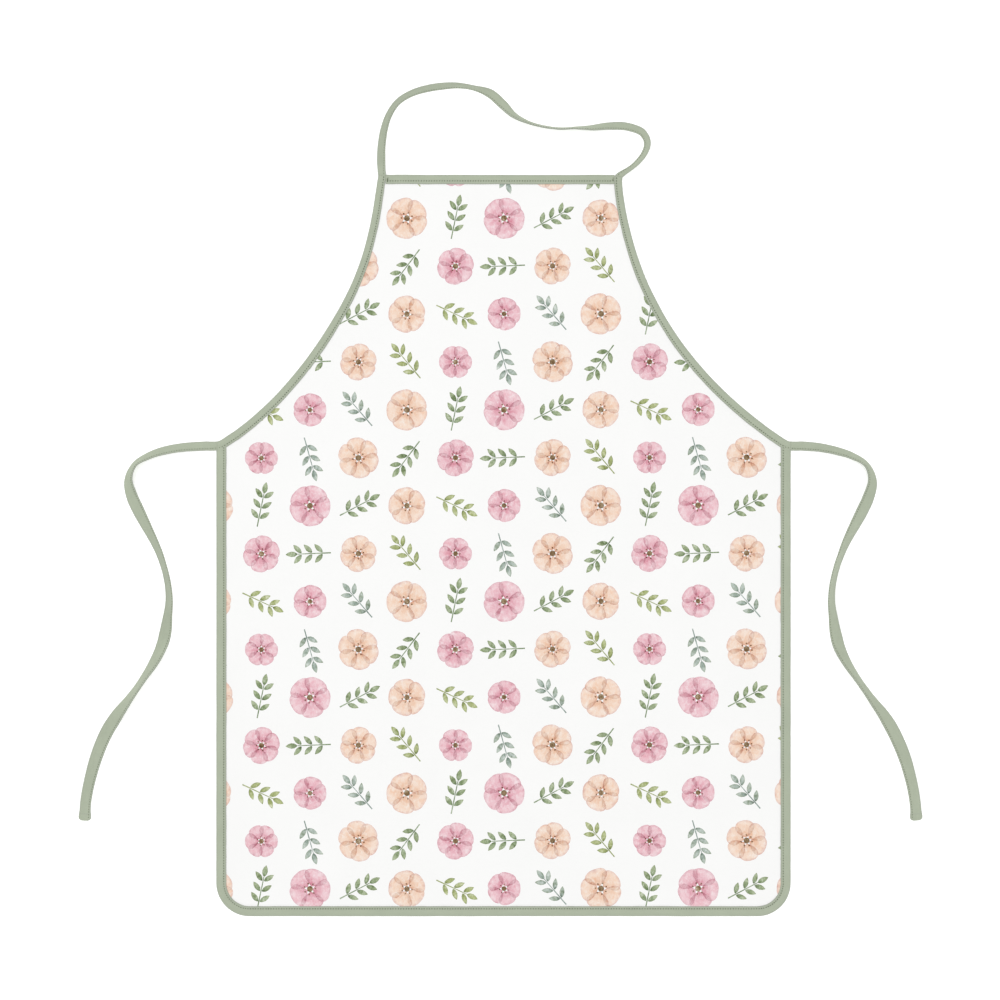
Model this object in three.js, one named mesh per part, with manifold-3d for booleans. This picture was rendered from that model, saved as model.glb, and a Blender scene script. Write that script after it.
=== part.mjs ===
// Bib apron lying flat, printed face up: one cloth panel bound in folded tape,
// with a neck strap and two waist ties that run on from the armhole tape.
// Millimetres, +Z up from the surface that it lies on, +Y towards the bib.
import * as THREE from 'three';
import { mergeVertices } from 'three/addons/utils/BufferGeometryUtils.js';
import Module from 'manifold-3d';

const wasm = await Module();
wasm.setup();

// ---- driving dimensions -----------------------------------------------------
const HALF_WIDTH = 310;          // body of the apron, half its width
const BOTTOM_Y = -405.4;         // lower edge of the hem
const TOP_Y = 394.4;             // upper edge of the bib
const CORNER_R = 36;             // rounded lower corners
const FOLD_Y = 123;              // line that the bib folds on, just above the waist
const STUB = 11;                 // tape that runs past the edge to each fold line
const GAP = 0.3;                 // air between touching pieces

const CLOTH_T = 0.6;             // cotton panel
const CLOTH_Z = 0.8;             // underside of the panel inside its binding
const BINDING_T = 2.2;           // folded tape round the raw edge
const BINDING_LEG = 0.5;         // one leg of the fold
const BINDING_WALL = 0.8;        // the fold itself, outside the raw edge
const HEM_W = 10.8;              // visible width of the side and hem binding
const TOP_W = 9.4;               // of the top binding
const ARMHOLE_W_TOP = 8.6;       // of the armhole tape at the bib top
const ARMHOLE_W_WAIST = 9.8;     // and at the waist
const TAPE_T = 1.2;              // strap and ties: the same tape stitched shut
const THREAD = 0.5;              // sewing thread
const STITCH_IN = 2.6;           // stitch row, in from the inner edge of a binding
const STITCH_IN_TAPE = 2.0;      // and in from the open edge of a tie or strap

// Outer edge of each armhole, [x, y], from the bib top down to the waist.
const LEFT_ARMHOLE = [
  [-135.3, 393.8], [-136.2, 387.3], [-137.5, 378.7], [-139.1, 367.9], [-141.2, 354.9],
  [-144.1, 339.8], [-148.2, 322.5], [-154.1, 303.1], [-162.3, 281.5], [-172.5, 259.9],
  [-184.6, 238.3], [-198.3, 216.7], [-213.7, 195.1], [-229.2, 175.7], [-244.7, 158.4],
  [-260.1, 143.3], [-274.8, 130.3], [-288.6, 119.5],
];
const RIGHT_ARMHOLE = [
  [128.5, 393.8], [128.9, 387.3], [129.6, 378.7], [130.9, 367.9], [132.8, 354.9],
  [135.8, 339.8], [140.0, 322.5], [146.0, 303.1], [154.3, 281.5], [164.5, 259.9],
  [176.6, 238.3], [190.7, 216.7], [207.3, 195.1], [224.4, 175.7], [241.7, 158.4],
  [258.6, 143.3], [274.6, 130.3], [289.1, 119.5],
];

// Middle line of each free tape: [x, y, width, lean in degrees]. A tape can't bend
// in its own plane, so it leans up on one edge in every curve.
const LEFT_TIE_LINE = [
  [-321.3, 102.2, 10, 0], [-332.7, 101.8, 10.17, 14], [-350, 100.3, 10.3, 23], [-367, 97, 10.57, 32],
  [-383.3, 91.4, 10.96, 45], [-397.9, 82.2, 11.45, 56], [-404.6, 66.3, 12.16, 39], [-401.4, 48.9, 12.7, 8],
  [-394.2, 33.1, 13.01, -19], [-386.2, 17.7, 13.01, -40], [-378.1, 2.3, 13, -55], [-371, -13.6, 13, -64],
  [-365.6, -30.1, 12.99, -68], [-361.8, -47, 12.98, -67], [-360.5, -64.3, 12.98, -62], [-362.2, -81.4, 12.97, -49],
  [-364.7, -98.3, 12.96, -18], [-369.5, -115, 12.99, 17], [-376.9, -130.6, 13.13, 34], [-386.2, -145.2, 13.28, 51],
  [-395.8, -159.6, 13.42, 54], [-406.1, -173.6, 13.6, 44], [-416.4, -187.4, 13.8, 19], [-425.8, -202, 14.01, -8],
  [-433.5, -217.6, 13.72, -5], [-439.6, -233.8, 13.33, -12], [-444.5, -250.4, 12.69, -17], [-448.3, -267.2, 12.12, -16],
  [-451.1, -284.3, 11.78, -12], [-452.2, -302.2, 11.95, -6],
];
const RIGHT_TIE_LINE = [
  [321.3, 102.2, 10, 0], [332, 101.6, 10.1, -14], [343.4, 100.3, 10.24, -23], [360.3, 96.8, 10.37, -32],
  [376.6, 91.3, 10.76, -44], [391.5, 82.1, 11.16, -54], [398, 65.6, 11.84, -32], [394.6, 48.3, 12.54, -3],
  [387.4, 32.5, 12.88, 16], [379.3, 17.2, 13.01, 38], [371.2, 1.8, 13, 54], [364.3, -14.1, 13, 65],
  [358.7, -30.6, 12.99, 68], [354.9, -47.6, 12.99, 67], [353.7, -65, 12.98, 62], [355.6, -82, 12.97, 50],
  [358.1, -99.1, 12.97, 26], [362.9, -115.7, 12.96, -13], [370.5, -131.3, 13.07, -37], [379.9, -145.9, 13.21, -52],
  [389.7, -160.2, 13.36, -54], [399.9, -174.3, 13.5, -44], [410.3, -188.1, 13.71, -25], [419.4, -202.9, 13.92, -1],
  [426.9, -218.5, 13.89, 2], [433.1, -234.7, 13.52, 16], [438, -251.4, 12.97, 21], [441.9, -268.2, 12.34, 21],
  [444.5, -285.3, 11.93, 15], [445.8, -302.2, 11.86, 0],
];
const NECK_STRAP_LINE = [
  [-131.9, 405.7, 9, 12], [-131.9, 414, 9.85, 28], [-131.5, 425.6, 9.98, 36], [-129.1, 442.7, 10.15, 45],
  [-123.7, 458.9, 10.15, 54], [-113.8, 473.4, 10.15, 59], [-98.9, 482.7, 10.15, 56], [-82.3, 487.8, 10.15, 51],
  [-65.2, 490.4, 10.15, 53], [-48, 490.9, 10.15, 63], [-30.9, 488.1, 10.15, 67], [-14.4, 482.3, 10.15, 28],
  [-1, 471, 10.15, -8], [11.4, 459.1, 10.15, -45], [26.9, 451.2, 10.15, -64], [43.5, 446.6, 10.15, -70],
  [60.7, 444.5, 10.15, -71], [78.1, 445.1, 10.15, -69], [95.5, 446.3, 10.15, -48], [112.8, 447.7, 10.15, -16],
  [130, 447.7, 10.15, 25], [146.6, 442.4, 10.15, 35], [154.2, 426.7, 10.15, 43], [148.6, 413.6, 10.15, 55],
  [141.1, 405.5, 9.8, 57], [132.9, 400.2, 9.4, 57],
];
// Right end of the strap where it turns down onto the armhole: [x, y, width, lean,
// and the direction across the tape, x and y]. It stays below the height of the
// strap's fold line, so that it clears the binding when it folds over.
const STRAP_TURN = [
  [148.6, 413.6, 8.2, 42, 0.80, -0.60], [141.1, 405.5, 6.4, 27, 0.64, -0.77],
  [134.4, 400.9, 6.2, 26, 0.72, -0.69], [128.6, 398.2, 6.6, 24, 0.85, -0.53],
  [125.4, 395.8, 8.0, 12, 0.94, -0.34], [124.2, 392.4, 8.6, 0, 1, 0],
];

// ---- geometry helpers -------------------------------------------------------
const UP = new THREE.Vector3(0, 0, 1);
const RAD = Math.PI / 180;

function toSolid(geometry) {
  const g = geometry.clone();
  g.deleteAttribute('normal');
  g.deleteAttribute('uv');
  const m = mergeVertices(g, 1e-4);
  return new wasm.Manifold(new wasm.Mesh({
    numProp: 3,
    vertProperties: new Float32Array(m.attributes.position.array),
    triVerts: new Uint32Array(m.index.array),
  }));
}

function toGeometry(manifold) {
  const mesh = manifold.getMesh();
  const g = new THREE.BufferGeometry();
  g.setAttribute('position', new THREE.BufferAttribute(new Float32Array(mesh.vertProperties), 3));
  g.setIndex(new THREE.BufferAttribute(new Uint32Array(mesh.triVerts), 1));
  g.computeVertexNormals();
  return g;
}

// The part of a geometry inside a box.
function keep(geometry, [x0, y0], [x1, y1]) {
  const box = new THREE.BoxGeometry(x1 - x0, y1 - y0, 200);
  box.translate((x0 + x1) / 2, (y0 + y1) / 2, 0);
  return toGeometry(toSolid(geometry).intersect(toSolid(box)));
}

// Sections along a tape. A section holds its middle, the flat direction across it
// (to the left of travel), its width and its lean.
function sections(rows, steps) {
  const line = new THREE.CatmullRomCurve3(
    rows.map((r) => new THREE.Vector3(r[0], r[1], 0)), false, 'catmullrom', 0.5);
  const n = rows.length;
  const across = rows.map((r, i) => {
    if (r.length > 4) return new THREE.Vector3(r[4], r[5], 0).normalize();
    const t = line.getTangent(i / (n - 1));
    return new THREE.Vector3(-t.y, t.x, 0).normalize();
  });
  const sizes = rows.map((r) => new THREE.Vector3(r[2], r[3], 0));
  const acrossLine = new THREE.CatmullRomCurve3(across, false, 'catmullrom', 0.5);
  const sizeLine = new THREE.CatmullRomCurve3(sizes, false, 'catmullrom', 0.5);
  const out = [];
  for (let i = 0; i <= steps; i++) {
    const t = i / steps;
    const size = sizeLine.getPoint(t);
    out.push({ p: line.getPoint(t), across: acrossLine.getPoint(t).setZ(0).normalize(), w: size.x, lean: size.y * RAD });
  }
  return out;
}

// A profile drawn across the tape (u across in units of its width, v through it in
// mm), swept along the sections. rest(i) is the height of the tape's middle.
function sweep(profile, list, rest) {
  const steps = list.length - 1;
  const shape = new THREE.Shape(profile.map(([u, v]) => new THREE.Vector2(u, v)));
  const g = new THREE.ExtrudeGeometry(shape, { depth: 1, steps, bevelEnabled: false, curveSegments: 1 });
  const pos = g.attributes.position;
  for (let i = 0; i < pos.count; i++) {
    const k = Math.round(pos.getZ(i) * steps);
    const s = list[k];
    const across = s.across.clone().multiplyScalar(Math.cos(s.lean)).addScaledVector(UP, Math.sin(s.lean));
    const through = UP.clone().multiplyScalar(Math.cos(s.lean)).addScaledVector(s.across, -Math.sin(s.lean));
    const q = s.p.clone().setZ(rest(k))
      .addScaledVector(across, pos.getX(i) * s.w)
      .addScaledVector(through, pos.getY(i));
    pos.setXYZ(i, q.x, q.y, q.z);
  }
  g.computeVertexNormals();
  return g;
}

// The open side of a binding is at u = -0.5, its fold at u = +0.5.
function bindingProfile(width) {
  const h = BINDING_T / 2;
  const slot = h - BINDING_LEG;
  const wall = 0.5 - BINDING_WALL / width;
  const c = 0.35 / width;
  return [[-0.5, -h], [0.5 - c, -h], [0.5, -h + 0.35], [0.5, h - 0.35], [0.5 - c, h], [-0.5, h],
    [-0.5, slot], [wall, slot], [wall, -slot], [-0.5, -slot]];
}

// Points across the flat faces keep them true where the tape twists.
const ACROSS = [-0.5, -0.3, 0, 0.3, 0.5];
const tapeProfile = [...ACROSS.map((u) => [u, -TAPE_T / 2]), ...ACROSS.slice().reverse().map((u) => [u, TAPE_T / 2])];

// A thread on the upper face: `from` is -1 or 1 for the edge it is measured from.
function threadSweep(list, halfThickness, inset, from, rest) {
  const v = halfThickness + GAP + THREAD / 2;
  const h = THREAD / 2;
  const steps = list.length - 1;
  const shape = new THREE.Shape([[-h, v - h], [h, v - h], [h, v + h], [-h, v + h]].map(([u, w]) => new THREE.Vector2(u, w)));
  const g = new THREE.ExtrudeGeometry(shape, { depth: 1, steps, bevelEnabled: false, curveSegments: 1 });
  const pos = g.attributes.position;
  for (let i = 0; i < pos.count; i++) {
    const k = Math.round(pos.getZ(i) * steps);
    const s = list[k];
    const across = s.across.clone().multiplyScalar(Math.cos(s.lean)).addScaledVector(UP, Math.sin(s.lean));
    const through = UP.clone().multiplyScalar(Math.cos(s.lean)).addScaledVector(s.across, -Math.sin(s.lean));
    const q = s.p.clone().setZ(rest(k))
      .addScaledVector(across, from * (s.w / 2 - inset) + pos.getX(i))
      .addScaledVector(through, pos.getY(i));
    pos.setXYZ(i, q.x, q.y, q.z);
  }
  g.computeVertexNormals();
  return g;
}

const bindingRest = () => BINDING_T / 2;

// A free tape rests on its lower edge. At its roots it keeps the binding's height.
function tapeRest(list, rootStart, rootEnd) {
  const along = [0];
  for (let i = 1; i < list.length; i++) along.push(along[i - 1] + list[i].p.distanceTo(list[i - 1].p));
  const total = along[along.length - 1];
  return (k) => {
    const s = list[k];
    const lying = Math.abs(Math.sin(s.lean)) * s.w / 2 + Math.abs(Math.cos(s.lean)) * TAPE_T / 2 + 0.02;
    const near = Math.min(rootStart ? along[k] : Infinity, rootEnd ? total - along[k] : Infinity);
    const root = BINDING_T / 2 - Math.max(0, near - 8) * 0.05;
    return Math.max(lying, root);
  };
}

// ---- the armhole tape: waist stub, armhole, bib-top stub --------------------
const lerpWidth = (y) => {
  const t = Math.min(1, Math.max(0, (TOP_Y - y) / (TOP_Y - 107)));
  return ARMHOLE_W_TOP + (ARMHOLE_W_WAIST - ARMHOLE_W_TOP) * t;
};

// Middle line of the tape from its outer edge, `side` -1 on the left, 1 on the right.
function middleOf(edge, side) {
  const curve = new THREE.CatmullRomCurve3(edge.map(([x, y]) => new THREE.Vector3(x, y, 0)), false, 'catmullrom', 0.5);
  return edge.map(([x, y], i) => {
    const t = curve.getTangent(i / (edge.length - 1));
    const inward = new THREE.Vector3(-t.y, t.x, 0).multiplyScalar(side === -1 ? 1 : -1);
    const w = lerpWidth(y);
    return [x + inward.x * w / 2, y + inward.y * w / 2, w, 0];
  });
}

const waistTurn = (side) => [
  [side * 295.4, 108.7, 9.8, 0], [side * 303, 104.8, 9.8, 0], [side * 310, 102.9, 9.8, 0],
  [side * 316, 102.3, 9.9, 0], [side * (HALF_WIDTH + STUB), 102.2, 10, 0],
];

const leftMiddle = middleOf(LEFT_ARMHOLE, -1);
const rightMiddle = middleOf(RIGHT_ARMHOLE, 1);

// Both run clockwise round the bib, so the outer edge is on the left of travel.
const leftTapeRows = [
  ...waistTurn(-1).reverse(),
  ...leftMiddle.slice().reverse(),
  [-131.5, 399.5, 8.7, 0], [-131.8, TOP_Y + STUB, 8.8, 0],
];
const rightTapeRows = [
  ...STRAP_TURN.map((r) => r.slice()),
  [rightMiddle[1][0], rightMiddle[1][1], rightMiddle[1][2], 0, 1, 0],
  ...rightMiddle.slice(2),
  ...waistTurn(1),
];
const leftTape = sections(leftTapeRows, 62);
const rightTape = sections(rightTapeRows, 70);

const leanRest = (list) => (k) => {
  const s = list[k];
  return Math.max(BINDING_T / 2, Math.abs(Math.sin(s.lean)) * s.w / 2 + Math.cos(s.lean) * BINDING_T / 2 + 0.02);
};

const leftTapeSolid = sweep(bindingProfile(9.4), leftTape, leanRest(leftTape));
const rightTapeSolid = sweep(bindingProfile(9.4), rightTape, leanRest(rightTape));
const leftTapeThread = threadSweep(leftTape, BINDING_T / 2, STITCH_IN, -1, leanRest(leftTape));
const rightTapeThread = threadSweep(rightTape, BINDING_T / 2, STITCH_IN, -1, leanRest(rightTape));

const FAR = 600;
const aboveFold = (g) => keep(g, [-FAR, FOLD_Y + GAP / 2], [FAR, TOP_Y + STUB]);
const belowFold = (g) => keep(g, [-FAR, -FAR], [FAR, FOLD_Y - GAP / 2]);

// ---- the cloth --------------------------------------------------------------
const EDGE_IN = BINDING_WALL + GAP;   // raw edge, in from the fold of its binding

// Raw edge along the armhole, from the waist up (left) or from the top down (right).
function rawEdge(list) {
  return list.map((s) => s.p.clone().addScaledVector(s.across, s.w / 2 - EDGE_IN * s.w / 9.4));
}
const sideX = HALF_WIDTH - EDGE_IN;
const clothTop = TOP_Y - EDGE_IN;
const leftRaw = rawEdge(leftTape).filter((p) => p.x > -sideX + 0.5 && p.y < clothTop - 0.5);
const rightRaw = rawEdge(rightTape).filter((p) => p.x < sideX - 0.5 && p.y < clothTop - 4);

function cloth() {
  const shape = new THREE.Shape();
  const r = CORNER_R - EDGE_IN;
  const low = BOTTOM_Y + EDGE_IN;
  shape.moveTo(-sideX, low + r);
  shape.absarc(-sideX + r, low + r, r, Math.PI, 1.5 * Math.PI, false);
  shape.absarc(sideX - r, low + r, r, 1.5 * Math.PI, 2 * Math.PI, false);
  shape.lineTo(sideX, rightRaw[rightRaw.length - 1].y - 0.35);
  for (const p of rightRaw.slice().reverse()) shape.lineTo(p.x, p.y);
  shape.lineTo(rightRaw[0].x - 3.5, clothTop);   // snipped under the turn of the strap
  shape.lineTo(leftRaw[leftRaw.length - 1].x, clothTop);
  for (const p of leftRaw.slice().reverse()) shape.lineTo(p.x, p.y);
  shape.lineTo(-sideX, leftRaw[0].y - 0.35);
  const g = new THREE.ExtrudeGeometry(shape, { depth: CLOTH_T, bevelEnabled: false, curveSegments: 10 });
  g.translate(0, 0, CLOTH_Z);
  return g;
}
const clothSolid = cloth();

// ---- hem and top bindings ---------------------------------------------------
const HEM_TOP_Y = 97.2;   // under the waist tape
function hemSections() {
  const d = HEM_W / 2;
  const x = HALF_WIDTH - d;
  const y = BOTTOM_Y + d;
  const r = CORNER_R - d;
  const out = [];
  const put = (px, py, ax, ay) => out.push({ p: new THREE.Vector3(px, py, 0), across: new THREE.Vector3(ax, ay, 0), w: HEM_W, lean: 0 });
  put(x, HEM_TOP_Y, 1, 0);
  for (let i = 1; i < 6; i++) put(x, HEM_TOP_Y + (y + r - HEM_TOP_Y) * i / 6, 1, 0);
  for (let i = 0; i <= 10; i++) {
    const a = -i / 10 * Math.PI / 2;
    put(x - r + r * Math.cos(a), y + r + r * Math.sin(a), Math.cos(a), Math.sin(a));
  }
  for (let i = 1; i < 6; i++) put((x - r) * (1 - 2 * i / 6), y, 0, -1);
  for (let i = 0; i <= 10; i++) {
    const a = -Math.PI / 2 - i / 10 * Math.PI / 2;
    put(-x + r + r * Math.cos(a), y + r + r * Math.sin(a), Math.cos(a), Math.sin(a));
  }
  for (let i = 1; i < 6; i++) put(-x, y + r + (HEM_TOP_Y - y - r) * i / 6, -1, 0);
  put(-x, HEM_TOP_Y, -1, 0);
  return out;
}
const hem = hemSections();

// Inner edge of an armhole tape beside the top binding.
const innerEdge = (list, side) => {
  const xs = list.filter((s) => s.p.y > TOP_Y - TOP_W - 8 && s.p.y < TOP_Y + 6)
    .map((s) => s.p.x - s.across.x * s.w / 2 * Math.cos(s.lean));
  return side < 0 ? Math.max(...xs) : Math.min(...xs);
};
const topLeftX = innerEdge(leftTape, -1) + 0.4;
const topRightX = innerEdge(rightTape, 1) - 0.4;
const topLine = Array.from({ length: 5 }, (_, i) => ({
  p: new THREE.Vector3(topLeftX + (topRightX - topLeftX) * i / 4, TOP_Y - TOP_W / 2, 0),
  across: new THREE.Vector3(0, 1, 0), w: TOP_W, lean: 0,
}));

// ---- free tapes -------------------------------------------------------------
const leftTie = sections(LEFT_TIE_LINE, 58);
const rightTie = sections(RIGHT_TIE_LINE, 58);
const strap = sections(
  [...NECK_STRAP_LINE.slice(0, -3), ...STRAP_TURN.slice(0, 3).map(([x, y, w, lean]) => [x, y, w, lean])], 76);
const leftTieRest = tapeRest(leftTie, true, false);
const rightTieRest = tapeRest(rightTie, true, false);
const strapRest = tapeRest(strap, true, false);
const aboveStub = (g) => keep(g, [-FAR, TOP_Y + STUB + GAP], [FAR, FAR]);

// ---- back-tacks at the bib's corners ----------------------------------------
function tack(x, y, length) {
  const g = new THREE.CapsuleGeometry(0.45, length - 0.9, 3, 8);
  g.translate(x, y, BINDING_T + GAP + 0.45);
  return g;
}

// ---- materials --------------------------------------------------------------
const cotton = () => new THREE.MeshStandardMaterial({ color: 0xf6f3f0, roughness: 0.92, metalness: 0 });
const tape = () => new THREE.MeshStandardMaterial({ color: 0xb1bfa2, roughness: 0.88, metalness: 0 });
const thread = () => new THREE.MeshStandardMaterial({ color: 0x8e9f7c, roughness: 0.7, metalness: 0 });

const apron = new THREE.Group();
function add(name, geometry, material) {
  const mesh = new THREE.Mesh(geometry, material);
  mesh.name = name;
  apron.add(mesh);
}

// Cloth, one piece: the two solids meet at the line that the bib folds on.
add('skirt_panel', belowFold(clothSolid), cotton());
add('bib_panel', aboveFold(clothSolid), cotton());
// Binding
add('hem_binding', sweep(bindingProfile(HEM_W), hem, bindingRest), tape());
add('top_binding', sweep(bindingProfile(TOP_W), topLine, bindingRest), tape());
add('left_armhole_binding', aboveFold(leftTapeSolid), tape());
add('right_armhole_binding', aboveFold(rightTapeSolid), tape());
add('left_waist_binding', belowFold(leftTapeSolid), tape());
add('right_waist_binding', belowFold(rightTapeSolid), tape());
// Free tapes
add('neck_strap', aboveStub(sweep(tapeProfile, strap, strapRest)), tape());
add('left_waist_tie', sweep(tapeProfile, leftTie, leftTieRest), tape());
add('right_waist_tie', sweep(tapeProfile, rightTie, rightTieRest), tape());
// Sewing
add('hem_stitching', threadSweep(hem, BINDING_T / 2, STITCH_IN, -1, bindingRest), thread());
add('top_stitching', threadSweep(topLine, BINDING_T / 2, STITCH_IN, -1, bindingRest), thread());
add('left_armhole_stitching', aboveFold(leftTapeThread), thread());
add('right_armhole_stitching', aboveFold(rightTapeThread), thread());
add('left_waist_stitching', belowFold(leftTapeThread), thread());
add('right_waist_stitching', belowFold(rightTapeThread), thread());
add('neck_strap_stitching', aboveStub(threadSweep(strap, TAPE_T / 2, STITCH_IN_TAPE, -1, strapRest)), thread());
add('left_tie_stitching', threadSweep(leftTie, TAPE_T / 2, STITCH_IN_TAPE, 1, leftTieRest), thread());
add('right_tie_stitching', threadSweep(rightTie, TAPE_T / 2, STITCH_IN_TAPE, -1, rightTieRest), thread());
add('left_top_back_tack', tack(topLeftX + 1.2, 390.5, 5.2), thread());
add('right_top_back_tack', tack(topRightX - 1.2, 390.5, 5.2), thread());

export default apron;
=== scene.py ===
# Bib apron lying flat, printed face up: looks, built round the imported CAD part.
import math

import bpy
import numpy as np
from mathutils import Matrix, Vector
from mathutils.geometry import delaunay_2d_cdt


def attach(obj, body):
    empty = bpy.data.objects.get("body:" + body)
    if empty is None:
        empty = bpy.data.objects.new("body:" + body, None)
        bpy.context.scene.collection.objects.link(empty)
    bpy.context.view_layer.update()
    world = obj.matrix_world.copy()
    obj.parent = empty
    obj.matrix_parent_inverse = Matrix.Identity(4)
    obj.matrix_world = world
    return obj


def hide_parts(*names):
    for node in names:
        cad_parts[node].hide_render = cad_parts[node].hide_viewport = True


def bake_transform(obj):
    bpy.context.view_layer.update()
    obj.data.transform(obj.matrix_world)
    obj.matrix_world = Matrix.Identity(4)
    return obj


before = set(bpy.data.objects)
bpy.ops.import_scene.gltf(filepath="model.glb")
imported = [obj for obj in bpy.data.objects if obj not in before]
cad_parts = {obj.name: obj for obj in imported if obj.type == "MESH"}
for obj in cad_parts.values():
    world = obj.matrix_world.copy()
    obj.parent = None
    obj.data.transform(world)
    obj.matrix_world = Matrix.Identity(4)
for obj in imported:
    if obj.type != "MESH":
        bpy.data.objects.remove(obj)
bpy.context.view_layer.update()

MM = 0.001

# ------------------------------------------------------------------- camera
PX = 1.08 * MM                      # one picture unit on the table
cam_data = bpy.data.cameras.new("camera")
cam_data.lens = 100.0
cam_data.sensor_width = 36.0
cam = bpy.data.objects.new("camera", cam_data)
cam.location = (-3.78 * MM, 43.9 * MM, 3.0)
cam.rotation_euler = (0, 0, 0)
cam_data.clip_start, cam_data.clip_end = 0.05, 50
bpy.context.scene.collection.objects.link(cam)
bpy.context.scene.camera = cam

# ------------------------------------------------ tapes: routes, as in the part
HALF_WIDTH, BOTTOM_Y, TOP_Y, CORNER_R = 310.0, -405.4, 394.4, 36.0
STUB = 11.0
BINDING_T, TAPE_T = 2.2, 1.2
HEM_W, TOP_W = 10.8, 9.4
W_TOP, W_WAIST = 8.6, 9.8
STITCH_IN, STITCH_IN_TAPE = 2.6, 2.0
HEM_TOP_Y = 97.2
PITCH = 2.8

LEFT_ARMHOLE = [
  [-135.3, 393.8], [-136.2, 387.3], [-137.5, 378.7], [-139.1, 367.9], [-141.2, 354.9],
  [-144.1, 339.8], [-148.2, 322.5], [-154.1, 303.1], [-162.3, 281.5], [-172.5, 259.9],
  [-184.6, 238.3], [-198.3, 216.7], [-213.7, 195.1], [-229.2, 175.7], [-244.7, 158.4],
  [-260.1, 143.3], [-274.8, 130.3], [-288.6, 119.5],
]
RIGHT_ARMHOLE = [
  [128.5, 393.8], [128.9, 387.3], [129.6, 378.7], [130.9, 367.9], [132.8, 354.9],
  [135.8, 339.8], [140.0, 322.5], [146.0, 303.1], [154.3, 281.5], [164.5, 259.9],
  [176.6, 238.3], [190.7, 216.7], [207.3, 195.1], [224.4, 175.7], [241.7, 158.4],
  [258.6, 143.3], [274.6, 130.3], [289.1, 119.5],
]
LEFT_TIE_LINE = [
  [-321.3, 102.2, 10, 0], [-332.7, 101.8, 10.17, 14], [-350, 100.3, 10.3, 23], [-367, 97, 10.57, 32],
  [-383.3, 91.4, 10.96, 45], [-397.9, 82.2, 11.45, 56], [-404.6, 66.3, 12.16, 39], [-401.4, 48.9, 12.7, 8],
  [-394.2, 33.1, 13.01, -19], [-386.2, 17.7, 13.01, -40], [-378.1, 2.3, 13, -55], [-371, -13.6, 13, -64],
  [-365.6, -30.1, 12.99, -68], [-361.8, -47, 12.98, -67], [-360.5, -64.3, 12.98, -62], [-362.2, -81.4, 12.97, -49],
  [-364.7, -98.3, 12.96, -18], [-369.5, -115, 12.99, 17], [-376.9, -130.6, 13.13, 34], [-386.2, -145.2, 13.28, 51],
  [-395.8, -159.6, 13.42, 54], [-406.1, -173.6, 13.6, 44], [-416.4, -187.4, 13.8, 19], [-425.8, -202, 14.01, -8],
  [-433.5, -217.6, 13.72, -5], [-439.6, -233.8, 13.33, -12], [-444.5, -250.4, 12.69, -17], [-448.3, -267.2, 12.12, -16],
  [-451.1, -284.3, 11.78, -12], [-452.2, -302.2, 11.95, -6],
]
RIGHT_TIE_LINE = [
  [321.3, 102.2, 10, 0], [332, 101.6, 10.1, -14], [343.4, 100.3, 10.24, -23], [360.3, 96.8, 10.37, -32],
  [376.6, 91.3, 10.76, -44], [391.5, 82.1, 11.16, -54], [398, 65.6, 11.84, -32], [394.6, 48.3, 12.54, -3],
  [387.4, 32.5, 12.88, 16], [379.3, 17.2, 13.01, 38], [371.2, 1.8, 13, 54], [364.3, -14.1, 13, 65],
  [358.7, -30.6, 12.99, 68], [354.9, -47.6, 12.99, 67], [353.7, -65, 12.98, 62], [355.6, -82, 12.97, 50],
  [358.1, -99.1, 12.97, 26], [362.9, -115.7, 12.96, -13], [370.5, -131.3, 13.07, -37], [379.9, -145.9, 13.21, -52],
  [389.7, -160.2, 13.36, -54], [399.9, -174.3, 13.5, -44], [410.3, -188.1, 13.71, -25], [419.4, -202.9, 13.92, -1],
  [426.9, -218.5, 13.89, 2], [433.1, -234.7, 13.52, 16], [438, -251.4, 12.97, 21], [441.9, -268.2, 12.34, 21],
  [444.5, -285.3, 11.93, 15], [445.8, -302.2, 11.86, 0],
]
NECK_STRAP_LINE = [
  [-131.9, 405.7, 9, 12], [-131.9, 414, 9.85, 28], [-131.5, 425.6, 9.98, 36], [-129.1, 442.7, 10.15, 45],
  [-123.7, 458.9, 10.15, 54], [-113.8, 473.4, 10.15, 59], [-98.9, 482.7, 10.15, 56], [-82.3, 487.8, 10.15, 51],
  [-65.2, 490.4, 10.15, 53], [-48, 490.9, 10.15, 63], [-30.9, 488.1, 10.15, 67], [-14.4, 482.3, 10.15, 28],
  [-1, 471, 10.15, -8], [11.4, 459.1, 10.15, -45], [26.9, 451.2, 10.15, -64], [43.5, 446.6, 10.15, -70],
  [60.7, 444.5, 10.15, -71], [78.1, 445.1, 10.15, -69], [95.5, 446.3, 10.15, -48], [112.8, 447.7, 10.15, -16],
  [130, 447.7, 10.15, 25], [146.6, 442.4, 10.15, 35], [154.2, 426.7, 10.15, 43], [148.6, 413.6, 10.15, 55],
  [141.1, 405.5, 9.8, 57], [132.9, 400.2, 9.4, 57],
]
STRAP_TURN = [
  [148.6, 413.6, 8.2, 42, 0.80, -0.60], [141.1, 405.5, 6.4, 27, 0.64, -0.77],
  [134.4, 400.9, 6.2, 26, 0.72, -0.69], [128.6, 398.2, 6.6, 24, 0.85, -0.53],
  [125.4, 395.8, 8.0, 12, 0.94, -0.34], [124.2, 392.4, 8.6, 0, 1, 0],
]


def spline(rows, per=24):
    """Uniform Catmull-Rom through rows of numbers, `per` points a span."""
    p = np.asarray(rows, float)
    q = np.vstack([2 * p[0] - p[1], p, 2 * p[-1] - p[-2]])
    out = []
    for i in range(1, len(q) - 2):
        a, b, c, d = q[i - 1], q[i], q[i + 1], q[i + 2]
        for t in np.linspace(0, 1, per, endpoint=False):
            out.append(0.5 * (2 * b + (c - a) * t + (2 * a - 5 * b + 4 * c - d) * t * t
                              + (3 * b - a - 3 * c + d) * t ** 3))
    out.append(p[-1])
    return np.array(out)


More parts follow.
